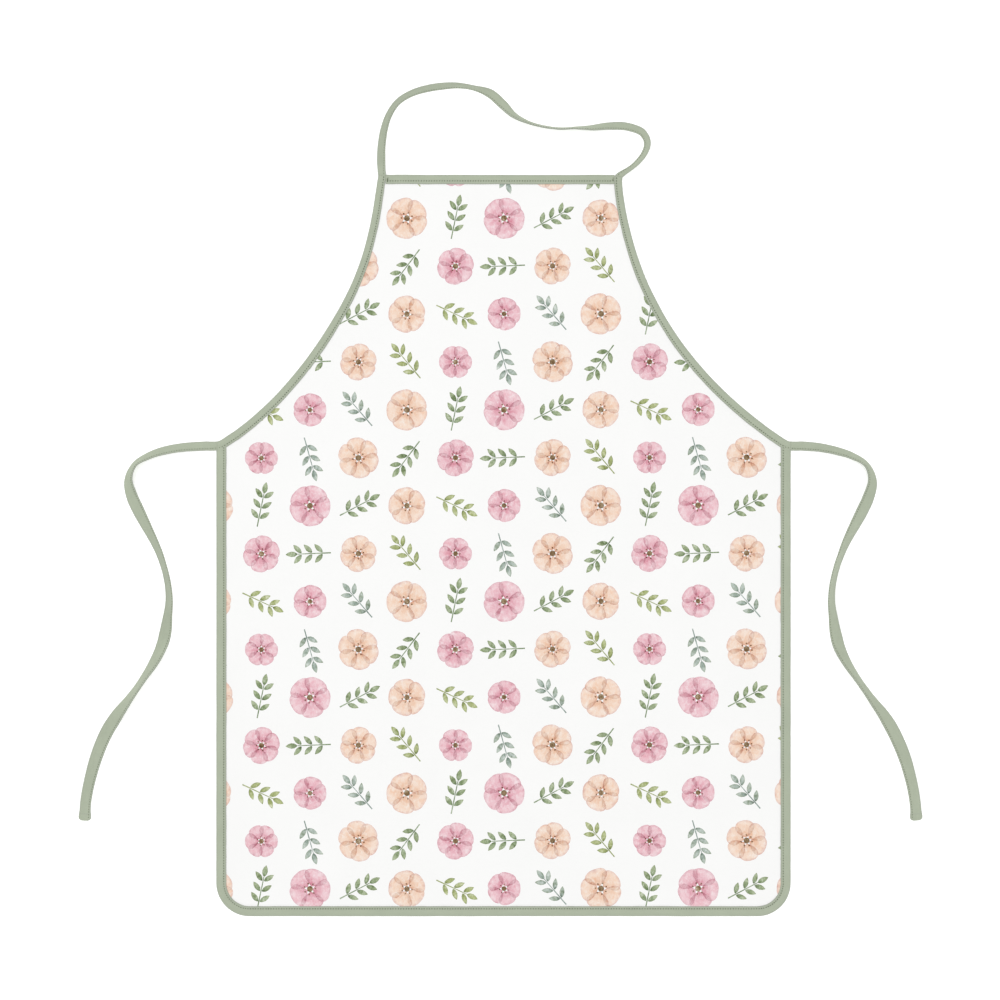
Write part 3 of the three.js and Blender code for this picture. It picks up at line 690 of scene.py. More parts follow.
def strap_tape(name, route, seed, end_bulge=None, step=0.9, open_side=-1, root=(True, False), tex=(0.0, 1.0, None)):
    """A tie or strap: the same tape folded in and stitched shut. open_side says
    which edge is the stitched one: -1 is the right of travel."""
    total = route.s[-1]
    n = int(round(total / step)) + 1
    s = np.linspace(0, total, n)
    w = route.width(s).copy()
    thick = np.full(n, 1.0)
    round_end = np.ones(n)
    if end_bulge:
        r = total - s
        w += 1.5 * np.exp(-((r - 4.2) / 4.4) ** 2)
        thick += 0.85 * np.exp(-((r - 3.6) / 3.6) ** 2)
        e = np.clip(1 - r / 3.4, 0, 1)
        round_end = 0.50 + 0.50 * np.sqrt(np.clip(1 - e * e, 0, 1))
        thick *= np.where(r < 1.3, np.sqrt(np.clip(1 - (1 - r / 1.3) ** 2, 0.05, 1)), 1.0)
    f = root_of(s, total, root)[:, None]
    m = 2 * len(TIE_TOP) + 1
    full = lambda half: ([(d, v, 1) for d, v in half] + [(-0.0001, 0.0, 1)] + [(d, v, -1) for d, v in half[::-1]])
    loop, near = full(TIE_TOP), full(BIND_TOP)
    q = squeeze(w)[:, None]
    D = 0
    for part, k in ((loop, 1 - f), (near, f)):
        d = np.array([p[0] for p in part])[None]
        D = D + k * np.clip(np.where(d < 0, w[:, None] + d * q, d * q), 0, w[:, None])
    v = np.array([p[1] for p in loop])[None] * (1 - f) * thick[:, None] + np.array([p[1] for p in near])[None] * f
    side = np.array([p[2] for p in loop])[None]
    S = np.repeat(s[:, None], m, 1)
    quiet = calm(s, 0, total, root)[:, None]
    grow = np.clip(v / 0.5, 0, 1) * quiet
    V = side * (v + grow * (ripple(S, D / q, w[:, None], seed, 0.8)))
    cup = 0.22 * vnoise(S / 40.0, S * 0, seed + 20) * ((D / w[:, None] - 0.5) ** 2 * 4 - 0.4)
    V = V + cup * quiet
    wob = 0.20 * vnoise(S / 22.0, S * 0 + seed, seed + 5) + 0.07 * vnoise(S / 6.0, S * 0 + seed, seed + 6)
    U = (D - w[:, None] / 2) * round_end[:, None]
    U = (U + wob * 0.6 * quiet) * (-open_side)
    pts = route.at(S, U, V)
    pts[..., 2] = np.where(f > 0.5, pts[..., 2], np.maximum(pts[..., 2], 0.12))
    k = np.exp(-(s / 14.0) ** 2) * (1 if root[0] else 0) + np.exp(-((total - s) / 14.0) ** 2) * (1 if root[1] else 0)
    pts[..., 2] += lift(pts[..., 0], pts[..., 1]) * k[:, None]
    verts, faces = tube(name, pts)
    if open_side > 0:
        faces = [f[::-1] for f in faces]
    t = len(TIE_TOP)
    caps = []
    for i in range(t):
        caps.append((i, i + 1, 2 * t - i - 1, 2 * t - i))
    caps = ends([], n, m, caps)
    if open_side > 0:
        caps = [f[::-1] for f in caps]
    skin = len(faces)
    faces = faces + caps
    ob = new_object(name, verts, faces, flat_from=None if end_bulge else skin)
    if end_bulge:
        for p in ob.data.polygons[skin:skin + len(caps) // 2]:
            p.use_smooth = False
    edge = np.minimum(D, w[:, None] - D)
    # painted shade: the tape darkens towards both folded edges and along its stitch groove
    shade = np.clip(np.exp(-(edge / 0.9) ** 2) * 0.9 + SEAM_SHADE * np.exp(-((D / q - 2.0 - 0.6 * f) / 0.6) ** 2) * (np.abs(v) > 0.3), 0, 1)
    # the shade mask also gets a narrow darker line across each tie, 7.4 mm from its end
    if end_bulge:
        shade = np.clip(shade + 0.6 * np.exp(-((total - S - 7.4) / 0.5) ** 2), 0, 1)
    place = [tex[0] + tex[1] * S, D, np.full_like(S, (seed if tex[2] is None else tex[2]) * 37.0)]
    attribute(ob, "along", np.stack(place, -1).reshape(-1, 3) * MM)
    attribute(ob, "shade", shade.ravel(), "FLOAT")
    return ob


def stitches(name, route, s0, s1, u_of, top, low, seed, lifted=1.0, r=0.48, thick=None, pitch=PITCH, both=True):
    """A row of lockstitches, front and back: each one a short thread that dips
    into the tape at both ends."""
    count = max(1, int(round((s1 - s0) / pitch)))
    pitch = (s1 - s0) / count
    c = s0 + (np.arange(count) + 0.5) * pitch
    c = c + 0.10 * pitch * vnoise(np.arange(count) * 1.7, np.zeros(count), seed)
    sides = 6
    steps = np.array([-1.0, -0.92, -0.6, 0.0, 0.6, 0.92, 1.0])
    rr = np.array([0.12, 0.62, 0.95, 1.0, 0.95, 0.62, 0.12]) * r
    dip = np.array([-0.30, -0.16, -0.02, 0.06, -0.02, -0.16, -0.30])
    th = np.arange(sides) / sides * 2 * np.pi
    verts, faces, local = [], [], []
    for face in ((1, -1) if both else (1,)):
        cc = c if face > 0 else c + pitch / 2
        cc = cc[(cc > s0 + 0.4) & (cc < s1 - 0.4)]
        half_len = pitch * 0.23
        slant = 0.10 * face
        S = cc[:, None, None] + steps[None, :, None] * half_len + 0 * th[None, None]
        u_mid = u_of(cc)[:, None, None] + slant * steps[None, :, None] + rr[None, :, None] * np.cos(th)[None, None]
        base = (top(cc) if face > 0 else low(cc))[:, None, None]
        Vv = base + face * (dip[None, :, None] + 0.10) + rr[None, :, None] * np.sin(th)[None, None] * 0.85
        pts = route.at(S, u_mid, Vv)
        if lifted:
            k = lifted(S) if callable(lifted) else lifted
            pts[..., 2] += lift(pts[..., 0], pts[..., 1]) * k
        pts[..., 2] = np.maximum(pts[..., 2], 0.03)
        q, a, b = pts.shape[:3]
        base_i = sum(len(x) for x in verts)
        verts.append(pts.reshape(-1, 3))
        i0 = base_i + np.arange(q)[:, None, None] * a * b + np.arange(a - 1)[None, :, None] * b
        j = np.arange(b)[None, None]
        jn = (j + 1) % b
        quads = np.stack([i0 + j, i0 + b + j, i0 + b + jn, i0 + jn], -1).reshape(-1, 4)
        faces += quads.tolist()
        first = base_i + np.arange(q)[:, None] * a * b + np.arange(b)[None]
        last = first + (a - 1) * b
        faces += first.tolist() + last[:, ::-1].tolist()
        local.append(np.stack([S, th[None, None] / (2 * np.pi) + 0 * S, cc[:, None, None] + 0 * S], -1).reshape(-1, 3))
    ob = new_object(name, np.concatenate(verts), faces)
    attribute(ob, "along", np.concatenate(local) * MM)
    return ob


# ------------------------------------------------------------------ materials
def srgb(r, g, b):
    f = lambda c: c / 12.92 if c <= 0.04045 else ((c + 0.055) / 1.055) ** 2.4
    return tuple(f(c / 255.0) for c in (r, g, b))


class Nodes:
    """A short hand for building a material's nodes."""

    def __init__(self, name):
        self.mat = bpy.data.materials.new(name)
        self.mat.use_nodes = True
        self.t = self.mat.node_tree
        self.t.nodes.clear()
        self.out = self.t.nodes.new("ShaderNodeOutputMaterial")
        self.shader = self.t.nodes.new("ShaderNodeBsdfPrincipled")
        self.t.links.new(self.shader.outputs[0], self.out.inputs[0])

    def put(self, socket, value):
        if isinstance(value, bpy.types.NodeSocket):
            self.t.links.new(value, socket)
        else:
            socket.default_value = value

    def math(self, op, a, b=0.0, c=None, clamp=False):
        n = self.t.nodes.new("ShaderNodeMath")
        n.operation = op
        n.use_clamp = clamp
        self.put(n.inputs[0], a)
        self.put(n.inputs[1], b)
        if c is not None:
            self.put(n.inputs[2], c)
        return n.outputs[0]

    def attr(self, name, out="Vector"):
        n = self.t.nodes.new("ShaderNodeAttribute")
        n.attribute_name = name
        return n.outputs[out]

    def split(self, v):
        n = self.t.nodes.new("ShaderNodeSeparateXYZ")
        self.put(n.inputs[0], v)
        return n.outputs

    def noise(self, v, scale, detail=2.0, rough=0.5, distortion=0.0):
        n = self.t.nodes.new("ShaderNodeTexNoise")
        self.put(n.inputs["Vector"], v)
        n.inputs["Scale"].default_value = scale
        n.inputs["Detail"].default_value = detail
        n.inputs["Roughness"].default_value = rough
        n.inputs["Distortion"].default_value = distortion
        return n.outputs[0]

    def scaled(self, v, xyz):
        n = self.t.nodes.new("ShaderNodeVectorMath")
        n.operation = "MULTIPLY"
        self.put(n.inputs[0], v)
        n.inputs[1].default_value = xyz
        return n.outputs[0]

    def ramp(self, fac, stops):
        n = self.t.nodes.new("ShaderNodeValToRGB")
        self.put(n.inputs[0], fac)
        e = n.color_ramp.elements
        while len(e) < len(stops):
            e.new(0.5)
        for k, (at, col) in enumerate(stops):
            e[k].position = at
            e[k].color = (*col, 1.0)
        return n.outputs[0]

    def mix(self, fac, a, b, mode="MIX"):
        n = self.t.nodes.new("ShaderNodeMix")
        n.data_type = "RGBA"
        n.blend_type = mode
        n.clamp_factor = True
        self.put(n.inputs["Factor"], fac)
        for k, v in ((6, a), (7, b)):
            if isinstance(v, bpy.types.NodeSocket):
                self.t.links.new(v, n.inputs[k])
            else:
                n.inputs[k].default_value = (*v, 1.0)
        return n.outputs[2]

    def bump(self, height, strength, distance, normal=None):
        n = self.t.nodes.new("ShaderNodeBump")
        n.inputs["Strength"].default_value = strength
        n.inputs["Distance"].default_value = distance
        self.put(n.inputs["Height"], height)
        if normal is not None:
            self.put(n.inputs["Normal"], normal)
        return n.outputs[0]

    def weave(self, x, y, pitch):
        """Height of a plain weave, 0 to 1, and which yarn is on top."""
        k = 2 * math.pi / pitch
        sx = self.math("SINE", self.math("MULTIPLY", x, k / 2))
        sy = self.math("SINE", self.math("MULTIPLY", y, k / 2))
        over = self.math("MULTIPLY", sx, sy)                       # checker of yarns
        ax = self.math("ABSOLUTE", sx)
        ay = self.math("ABSOLUTE", sy)
        warp = self.math("MULTIPLY", ax, self.math("ADD", self.math("MULTIPLY", over, 0.5), 0.5))
        weft = self.math("MULTIPLY", ay, self.math("SUBTRACT", 0.5, self.math("MULTIPLY", over, 0.5)))
        return self.math("MAXIMUM", warp, weft), over


def cotton_tape(name, mid, edge, weave_gap_shade):
    m = Nodes(name)
    s, d, k = m.split(m.attr("along"))
    v = m.attr("along")
    bias_a = m.math("ADD", s, d)
    bias_b = m.math("SUBTRACT", s, d)
    height, over = m.weave(bias_a, bias_b, 0.00062)
    shade = m.attr("shade", "Fac")
    slub = m.noise(m.scaled(v, (260, 900, 50)), 1.0, 3.0, 0.6)
    patch = m.noise(m.scaled(v, (42, 90, 31)), 1.0, 2.0, 0.5)
    fibre = m.noise(m.scaled(v, (3600, 3600, 50)), 1.0, 2.0, 0.7)
    base = m.ramp(patch, [(0.25, tuple(c * 0.955 for c in mid)), (0.5, mid), (0.78, tuple(min(1, c * 1.05) for c in mid))])
    base = m.mix(m.math("MULTIPLY", m.math("SUBTRACT", slub, 0.42, clamp=True), 0.9), base, tuple(c * 0.86 for c in mid))
    # painted shade: the tape goes darker in the gaps between its yarns
    base = m.mix(m.math("MULTIPLY", m.math("SUBTRACT", 1.0, height, clamp=True), 0.34), base, weave_gap_shade)
    base = m.mix(m.math("MULTIPLY", m.math("SUBTRACT", fibre, 0.55, clamp=True), 1.1), base, tuple(min(1, c * 1.22) for c in mid))
    # painted shade: mixes towards the edge colour where the shade mask is high, at the folded edges and the stitch
    # groove
    base = m.mix(m.math("MULTIPLY", shade, 0.62), base, edge)
    m.put(m.shader.inputs["Base Color"], base)
    rough = m.math("ADD", 0.80, m.math("MULTIPLY", m.math("SUBTRACT", fibre, 0.5), 0.22))
    rough = m.math("ADD", rough, m.math("MULTIPLY", shade, 0.06), clamp=True)
    m.put(m.shader.inputs["Roughness"], rough)
    h = m.math("ADD", m.math("MULTIPLY", height, 0.7), m.math("MULTIPLY", slub, 0.5))
    b = m.bump(h, 0.55, 0.00022)
    b = m.bump(patch, 0.35, 0.0006, b)
    m.put(m.shader.inputs["Normal"], b)
    m.shader.inputs["Sheen Weight"].default_value = 0.18
    m.shader.inputs["Sheen Roughness"].default_value = 0.45
    m.shader.inputs["Specular IOR Level"].default_value = 0.22
    return m.mat


def sewing_thread(name, mid):
    m = Nodes(name)
    s, t, k = m.split(m.attr("along"))
    v = m.attr("along")
    twist = m.math("SINE", m.math("ADD", m.math("MULTIPLY", s, 2 * math.pi / 0.00055), m.math("MULTIPLY", t, 2 * math.pi * 2000)))
    lay = m.math("ADD", m.math("MULTIPLY", twist, 0.5), 0.5)
    tone = m.noise(m.scaled(v, (120, 1, 300)), 1.0, 2.0, 0.5)
    # painted shade and painted highlight: darker in the grooves of the twist, lighter on its crowns
    base = m.ramp(lay, [(0.0, tuple(c * 0.72 for c in mid)), (0.6, mid), (1.0, tuple(min(1, c * 1.16) for c in mid))])
    base = m.mix(m.math("MULTIPLY", tone, 0.35), base, tuple(c * 0.80 for c in mid))
    m.put(m.shader.inputs["Base Color"], base)
    m.put(m.shader.inputs["Roughness"], m.math("ADD", 0.48, m.math("MULTIPLY", tone, 0.22)))
    m.put(m.shader.inputs["Normal"], m.bump(lay, 0.6, 0.00012))
    m.shader.inputs["Sheen Weight"].default_value = 0.12
    m.shader.inputs["Specular IOR Level"].default_value = 0.35
    return m.mat


def printed_cotton(name, ground):
    m = Nodes(name)
    v = m.attr("cut")
    x, y, z = m.split(v)
    paint = m.attr("print", "Color")
    height, over = m.weave(x, y, 0.00078)
    slub_x = m.noise(m.scaled(v, (70, 1500, 1)), 1.0, 3.0, 0.6)
    slub_y = m.noise(m.scaled(v, (1500, 70, 1)), 1.0, 3.0, 0.6)
    cloud = m.noise(m.scaled(v, (16, 16, 1)), 1.0, 3.0, 0.5)
    grain = m.noise(m.scaled(v, (950, 950, 1)), 1.0, 3.0, 0.62)
    pool = m.noise(m.scaled(v, (190, 190, 1)), 1.0, 2.0, 0.5, 0.6)
    # paint density: pools, streaks and grains of pigment, less on the crowns of the yarns
    streak = m.noise(m.scaled(v, (520, 300, 1)), 1.0, 2.0, 0.55, 1.2)
    off = lambda n, k: m.math("MULTIPLY", m.math("SUBTRACT", n, 0.5), k)
    dens = m.math("ADD", 1.05, off(grain, 1.1))
    dens = m.math("ADD", dens, off(pool, 1.5))
    dens = m.math("ADD", dens, off(streak, 1.3))
    dens = m.math("MAXIMUM", m.math("SUBTRACT", dens, m.math("MULTIPLY", height, 0.08)), 0.3)
    g = m.t.nodes.new("ShaderNodeGamma")
    m.put(g.inputs[0], paint)
    m.put(g.inputs[1], dens)
    cloth = m.ramp(cloud, [(0.3, tuple(c * 0.985 for c in ground)), (0.7, ground)])
    # painted shade: the ground goes darker in the gaps between the yarns of the weave
    gap_shade = m.math("MULTIPLY", m.math("SUBTRACT", 1.0, height, clamp=True), 0.13)
    cloth = m.mix(gap_shade, cloth, tuple(c * 0.72 for c in ground))
    sl = m.math("MULTIPLY", m.math("SUBTRACT", m.math("MAXIMUM", slub_x, slub_y), 0.62, clamp=True), 0.55)
    cloth = m.mix(sl, cloth, tuple(c * 0.93 for c in ground))
    base = m.mix(1.0, cloth, g.outputs[0], "MULTIPLY")
    m.put(m.shader.inputs["Base Color"], base)
    rough = m.math("ADD", 0.80, m.math("MULTIPLY", m.math("SUBTRACT", grain, 0.5), 0.18), clamp=True)
    m.put(m.shader.inputs["Roughness"], rough)
    h = m.math("ADD", m.math("MULTIPLY", height, 0.8), m.math("MULTIPLY", m.math("ADD", slub_x, slub_y), 0.35))
    b = m.bump(h, 0.42, 0.00016)
    b = m.bump(cloud, 0.3, 0.002, b)
    m.put(m.shader.inputs["Normal"], b)
    m.shader.inputs["Sheen Weight"].default_value = 0.12
    m.shader.inputs["Sheen Roughness"].default_value = 0.5
    m.shader.inputs["Specular IOR Level"].default_value = 0.18
    return m.mat


TAPE_MID = srgb(164, 172, 153)
# the tape's second colour is the painted shade at its folded edges and stitch groove, the third the painted shade
# between its yarns
tape_mat = cotton_tape("sage_bias_tape", TAPE_MID, srgb(142, 146, 137), srgb(128, 137, 117))
thread_mat = sewing_thread("sage_thread", srgb(84, 94, 70))
fine_thread_mat = sewing_thread("sage_fine_thread", srgb(108, 118, 94))
cloth_mat = printed_cotton("meadow_print_cotton", srgb(228, 228, 227))


# ------------------------------------------------------------ the printed panel
def edge_of(route, inset, reverse=False):
    q = route.p + route.a * (route.w / 2 - inset)[:, None]
    return q[::-1] if reverse else q


def panel_outline():
    side_x, low, top, r = HALF_WIDTH - 2.0, BOTTOM_Y + 2.0, TOP_Y - 2.0, CORNER_R - 2.0
    left = edge_of(left_arm, 2.0)
    left = left[(left[:, 0] > -side_x + 0.6) & (left[:, 1] < top - 1.0)]
    right = edge_of(right_arm, 2.0)
    right = right[(right[:, 0] < side_x - 0.6) & (right[:, 1] < top - 4.0)]
    pts = []
    y = left[0][1] - 0.5
    while y > low + r:
        pts.append((-side_x, y))
        y -= 6.0
    for a in np.linspace(math.pi, 1.5 * math.pi, 10):
        pts.append((-side_x + r + r * math.cos(a), low + r + r * math.sin(a)))
    for x in np.linspace(-side_x + r, side_x - r, 92)[1:-1]:
        pts.append((x, low))
    for a in np.linspace(1.5 * math.pi, 2 * math.pi, 10):
        pts.append((side_x - r + r * math.cos(a), low + r + r * math.sin(a)))
    ys = np.arange(low + r, right[-1][1] - 0.5, 6.0)[1:]
    pts += [(side_x, v) for v in ys]
    pts += [tuple(v) for v in right[::-1][::4]]
    a, b = right[0][0] - 3.5, left[-1][0]
    pts += [(x, top) for x in np.linspace(a, b, 44)]
    pts += [tuple(v) for v in left[::-1][::4]]
    out = [pts[0]]
    for p in pts[1:]:
        if math.dist(p, out[-1]) > 1.5:
            out.append(p)
    if math.dist(out[0], out[-1]) < 1.5:
        out.pop()
    return np.array(out)


def inside(poly, x, y):
    """Even-odd test of points against a polygon."""
    hit = np.zeros(len(x), bool)
    px, py = poly[:, 0], poly[:, 1]
    qx, qy = np.roll(px, -1), np.roll(py, -1)
    for a, b, c, d in zip(px, py, qx, qy):
        if b != d:
            m = (b > y) != (d > y)
            hit ^= m & (x < (c - a) * (y - b) / (d - b) + a)
    return hit


def inner_points(sh):
    """Points inside a shape that carry its wash: a ring near the edge and a few within."""
    if not sh["inner"]:
        return np.zeros((0, 2))
    poly = sh["poly"]
    nxt, prv = np.roll(poly, -1, 0), np.roll(poly, 1, 0)
    t = nxt - prv
    t /= np.linalg.norm(t, axis=1)[:, None] + 1e-9
    area = 0.5 * np.sum(poly[:, 0] * nxt[:, 1] - nxt[:, 0] * poly[:, 1])
    n = np.stack([-t[:, 1], t[:, 0]], 1) * (1 if area > 0 else -1)
    ring = (poly + n * 0.95)[::2]
    ring = ring[inside(poly, ring[:, 0], ring[:, 1])]
    if len(ring):
        ring = ring[near_edge(poly, ring[:, 0], ring[:, 1]) > 0.6]
    lo, hi = poly.min(0), poly.max(0)
    gx, gy = np.meshgrid(np.arange(lo[0], hi[0], 3.1), np.arange(lo[1], hi[1], 2.9))
    gx = gx + (np.arange(gx.shape[0]) % 2)[:, None] * 1.55
    g = np.stack([gx.ravel(), gy.ravel()], 1)
    g = g[inside(poly, g[:, 0], g[:, 1])]
    if len(g):
        g = g[near_edge(poly, g[:, 0], g[:, 1]) > 1.9]
    return np.vstack([ring, g])


def to_cloth(p):
    return np.stack([(p[:, 0] - 503.5) * 1.08, (540.65 - p[:, 1]) * 1.08], 1)


def make_panel():
    repeat_cell()
    outline = panel_outline()
    lo, hi = outline.min(0), outline.max(0)
    inner = [inner_points(sh) for sh in SHAPES]
    coords, edges = [*map(tuple, outline)], []
    k = len(coords)
    edges += [(i, (i + 1) % k) for i in range(k)]
    placed = []
    extra = []
    for n in range(-6, 7):
        for m in range(-4, 5):
            off = np.array([0, 191.5]) * n + np.array([194.0, -96.0]) * m
            for idx, sh in enumerate(SHAPES):
                poly = to_cloth(sh["poly"] + off)
                a, b = poly.min(0), poly.max(0)
                if (b < lo).any() or (a > hi).any():
                    continue
                hit = inside(outline, poly[:, 0], poly[:, 1])
                if not hit.any():
                    continue
                base = len(coords)
                coords += map(tuple, poly)
                edges += [(base + i, base + (i + 1) % len(poly)) for i in range(len(poly))]
                placed.append((idx, off, poly))
                if len(inner[idx]):
                    extra.append(to_cloth(inner[idx] + off))
    gx, gy = np.meshgrid(np.arange(lo[0] + 3, hi[0], 8.5), np.arange(lo[1] + 3, hi[1], 8.0))
    gx = gx + (np.arange(gx.shape[0]) % 2)[:, None] * 4.25
    ground = np.stack([gx.ravel(), gy.ravel()], 1)
    fx, fy = np.meshgrid(np.arange(lo[0] + 3, hi[0], 5.0), np.arange(106.0, 141.0, 2.2))
    fold = np.stack([fx.ravel(), fy.ravel()], 1)
    ground = np.vstack([ground[(ground[:, 1] < 103) | (ground[:, 1] > 143)], fold])
    ground = ground[inside(outline, ground[:, 0], ground[:, 1])]
    far = near_edge(outline, ground[:, 0], ground[:, 1]) > 2.0
    extra = np.vstack(extra)
    extra = extra[inside(outline, extra[:, 0], extra[:, 1])]
    coords += map(tuple, extra)
    coords += map(tuple, ground[far])
    out = delaunay_2d_cdt([Vector(c) for c in coords], edges, [], 1, 1e-4, False)
    P = np.array([tuple(v) for v in out[0]])
    T = np.array([t for t in out[2] if len(t) == 3])
    c = P[T].mean(1)
    T = T[inside(outline, c[:, 0], c[:, 1])]
    size = np.abs(np.cross(P[T[:, 1]] - P[T[:, 0]], P[T[:, 2]] - P[T[:, 0]]))
    T = T[size > 1e-6]
    c = P[T].mean(1)
    order = np.argsort(c[:, 0])
    T, c = T[order], c[order]
    col = np.ones((len(T), 3, 3))
    for idx, off, poly in placed:
        sh = SHAPES[idx]
        a, b = poly.min(0), poly.max(0)
        i0, i1 = np.searchsorted(c[:, 0], [a[0], b[0]])
        if i1 <= i0:
            continue
        k = np.arange(i0, i1)
        k = k[(c[k, 1] > a[1]) & (c[k, 1] < b[1])]
        if not len(k):
            continue
        k = k[inside(poly, c[k, 0], c[k, 1])]
        if not len(k):
            continue
        q = P[T[k]].reshape(-1, 2)
        ux, uy = q[:, 0] / 1.08 + 503.5 - off[0], 540.65 - q[:, 1] / 1.08 - off[1]
        col[k] = lay(col[k].reshape(-1, 3), sh, ux, uy).reshape(-1, 3, 3)
    used, inv = np.unique(T, return_inverse=True)
    P, T = P[used], inv.reshape(T.shape)
    nv = len(P)

    def height(q):
        """Middle of the cloth: tucked into the binding at the edge, near the table inside."""
        d = np.empty(len(q))
        for i in range(0, len(q), 20000):
            d[i:i + 20000] = near_edge(outline, q[i:i + 20000, 0], q[i:i + 20000, 1])
        t = np.clip((d - 7) / 26.0, 0, 1)
        t = t * t * (3 - 2 * t)
        mid = 1.1 * (1 - t) + 0.42 * t + lift(q[:, 0], q[:, 1])
        pucker = 0.16 * vnoise(q[:, 0] / 6.0, q[:, 1] / 6.0, 21) * np.exp(-((d - 12) / 7.0) ** 2)
        return mid + pucker + 0.10 * np.exp(-((d - 10) / 3.0) ** 2)

    # the front's rim, in order
    open_edges = {}
    for a, b in np.vstack([T[:, [0, 1]], T[:, [1, 2]], T[:, [2, 0]]]).tolist():
        if (b, a) in open_edges:
            del open_edges[(b, a)]
        else:
            open_edges[(a, b)] = True
    nxt = {a: b for a, b in open_edges}
    loop = [next(iter(nxt))]
    while nxt[loop[-1]] != loop[0]:
        loop.append(nxt[loop[-1]])
    # the back, where the print only shows through, has its own coarser mesh
    step = 4.2
    bx, by = np.meshgrid(np.arange(lo[0] + 2, hi[0], step), np.arange(lo[1] + 2, hi[1], step * 0.9))
    bx = bx + (np.arange(bx.shape[0]) % 2)[:, None] * step / 2
    back = np.stack([bx.ravel(), by.ravel()], 1)
    back = back[inside(outline, back[:, 0], back[:, 1])]
    back = back[near_edge(outline, back[:, 0], back[:, 1]) > 2.0]
    rim = P[loop]
    k = len(loop)
    out = delaunay_2d_cdt([Vector(c) for c in [*map(tuple, rim), *map(tuple, back)]],
                          [(i, (i + 1) % k) for i in range(k)], [], 1, 1e-4, True)
    Q = np.array([tuple(v) for v in out[0]])
    R = np.array([t for t in out[2] if len(t) == 3])
    mid = Q[R].mean(1)
    R = R[inside(rim, mid[:, 0], mid[:, 1])]
    of_rim = [-1] * k
    for i, src in enumerate(out[3]):
        for j in src:
            if j < k:
                of_rim[j] = i
    under = np.ones((len(Q), 3))
    for idx, off, poly in placed:
        a, b = poly.min(0), poly.max(0)
        m = np.nonzero((Q[:, 0] > a[0]) & (Q[:, 0] < b[0]) & (Q[:, 1] > a[1]) & (Q[:, 1] < b[1]))[0]
        if len(m):
            m = m[inside(poly, Q[m, 0], Q[m, 1])]
        if len(m):
            under[m] = lay(under[m], SHAPES[idx], Q[m, 0] / 1.08 + 503.5 - off[0], 540.65 - Q[m, 1] / 1.08 - off[1])
    nv, nb = len(P), len(Q)
    top = np.column_stack([P, height(P) + 0.18])
    low = np.column_stack([Q, height(Q) - 0.18])
    sides = [(loop[(i + 1) % k], loop[i], nv + of_rim[i], nv + of_rim[(i + 1) % k]) for i in range(k)]
    faces = T.tolist() + (R[:, ::-1] + nv).tolist() + sides
    ob = new_object("printed_panel", np.vstack([top, low]), faces)
    me = ob.data
    linear = lambda c: np.where(c <= 0.04045, c / 12.92, ((c + 0.055) / 1.055) ** 2.4)
    pale = linear(under) ** 0.30
    pale = pale.mean(1, keepdims=True) * 0.35 + pale * 0.65
    loops = np.empty(len(me.loops), np.int32)
    me.loops.foreach_get("vertex_index", loops)
    n3 = len(T) * 3
    corner = np.ones((len(loops), 4), np.float32)
    grey = col.reshape(-1, 3) @ np.array([[0.30], [0.59], [0.11]])
    corner[:n3, :3] = linear(np.clip(grey + (col.reshape(-1, 3) - grey) * 0.85 + (grey - 1) * 0.02, 0, 1))
    b3 = n3 + len(R) * 3
    corner[n3:b3, :3] = pale[loops[n3:b3] - nv]
    at = me.color_attributes.new("print", "FLOAT_COLOR", "CORNER")
    at.data.foreach_set("color", corner.ravel())
    flat = np.vstack([P, Q])
    attribute(ob, "cut", np.column_stack([flat, np.zeros(len(flat))]) * MM)
    # one flat map for both faces, the front at the larger scale
    xy = flat[loops]
    uv = np.empty((len(loops), 2))
    uv[:, 0] = 0.004 + (xy[:, 0] + 310) / 1000 * 1.11
    uv[:, 1] = 0.004 + (xy[:, 1] + 406) / 1000 * 1.11
    f = np.zeros(len(loops), bool)
    f[n3:b3] = True
    uv[f, 0] = 0.71 + (310 - xy[f, 0]) / 1000 * 0.455
    uv[f, 1] = 0.004 + (xy[f, 1] + 406) / 1000 * 0.455
    layer = me.uv_layers.new(name="OFBake")
    layer.uv.foreach_set("vector", uv.astype(np.float32).ravel())
    area = float(np.abs(np.cross(P[T[:, 1]] - P[T[:, 0]], P[T[:, 2]] - P[T[:, 0]])).sum() / 2) * 1e-6
    ob.data.materials.append(cloth_mat)
    print("panel", len(T), "triangles in front,", len(R), "behind, area", round(area, 4))
    return ob, area


panel, panel_area = make_panel()

# ---------------------------------------------------------------- hem and top
HEM_TOP = HEM_TOP_Y + 5.3               # tucked under the armhole's tape
HEM_SEAM, TOP_SEAM = 2.7, 3.4           # how far in each row of stitches runs


def hem_route():
    d = HEM_W / 2
    x, y, r = HALF_WIDTH - d, BOTTOM_Y + d, CORNER_R - d
    pts, acr = [], []

    def put(px, py, ax, ay):
        pts.append((px, py))
        acr.append((ax, ay))

    for v in np.linspace(HEM_TOP, y + r, 160)[:-1]:
        put(x, v, 1, 0)
    for a in np.linspace(0, -math.pi / 2, 50):
        put(x - r + r * math.cos(a), y + r + r * math.sin(a), math.cos(a), math.sin(a))
    for v in np.linspace(x - r, -x + r, 160)[1:-1]:
        put(v, y, 0, -1)
    for a in np.linspace(-math.pi / 2, -math.pi, 50):
        put(-x + r + r * math.cos(a), y + r + r * math.sin(a), math.cos(a), math.sin(a))
    for v in np.linspace(y + r, HEM_TOP, 160)[1:]:
        put(-x, v, -1, 0)
    n = len(pts)
    return Route(np.array(pts), np.array(acr, float), np.full(n, HEM_W), np.zeros(n))


def inner_edge(route, side):
    k = (route.p[:, 1] > TOP_Y - TOP_W - 8) & (route.p[:, 1] < TOP_Y + 6)
    xs = route.p[k, 0] - route.a[k, 0] * route.w[k] / 2 * np.cos(route.lean[k])
    return xs.max() if side < 0 else xs[route.p[k, 1] < TOP_Y - 2].min()


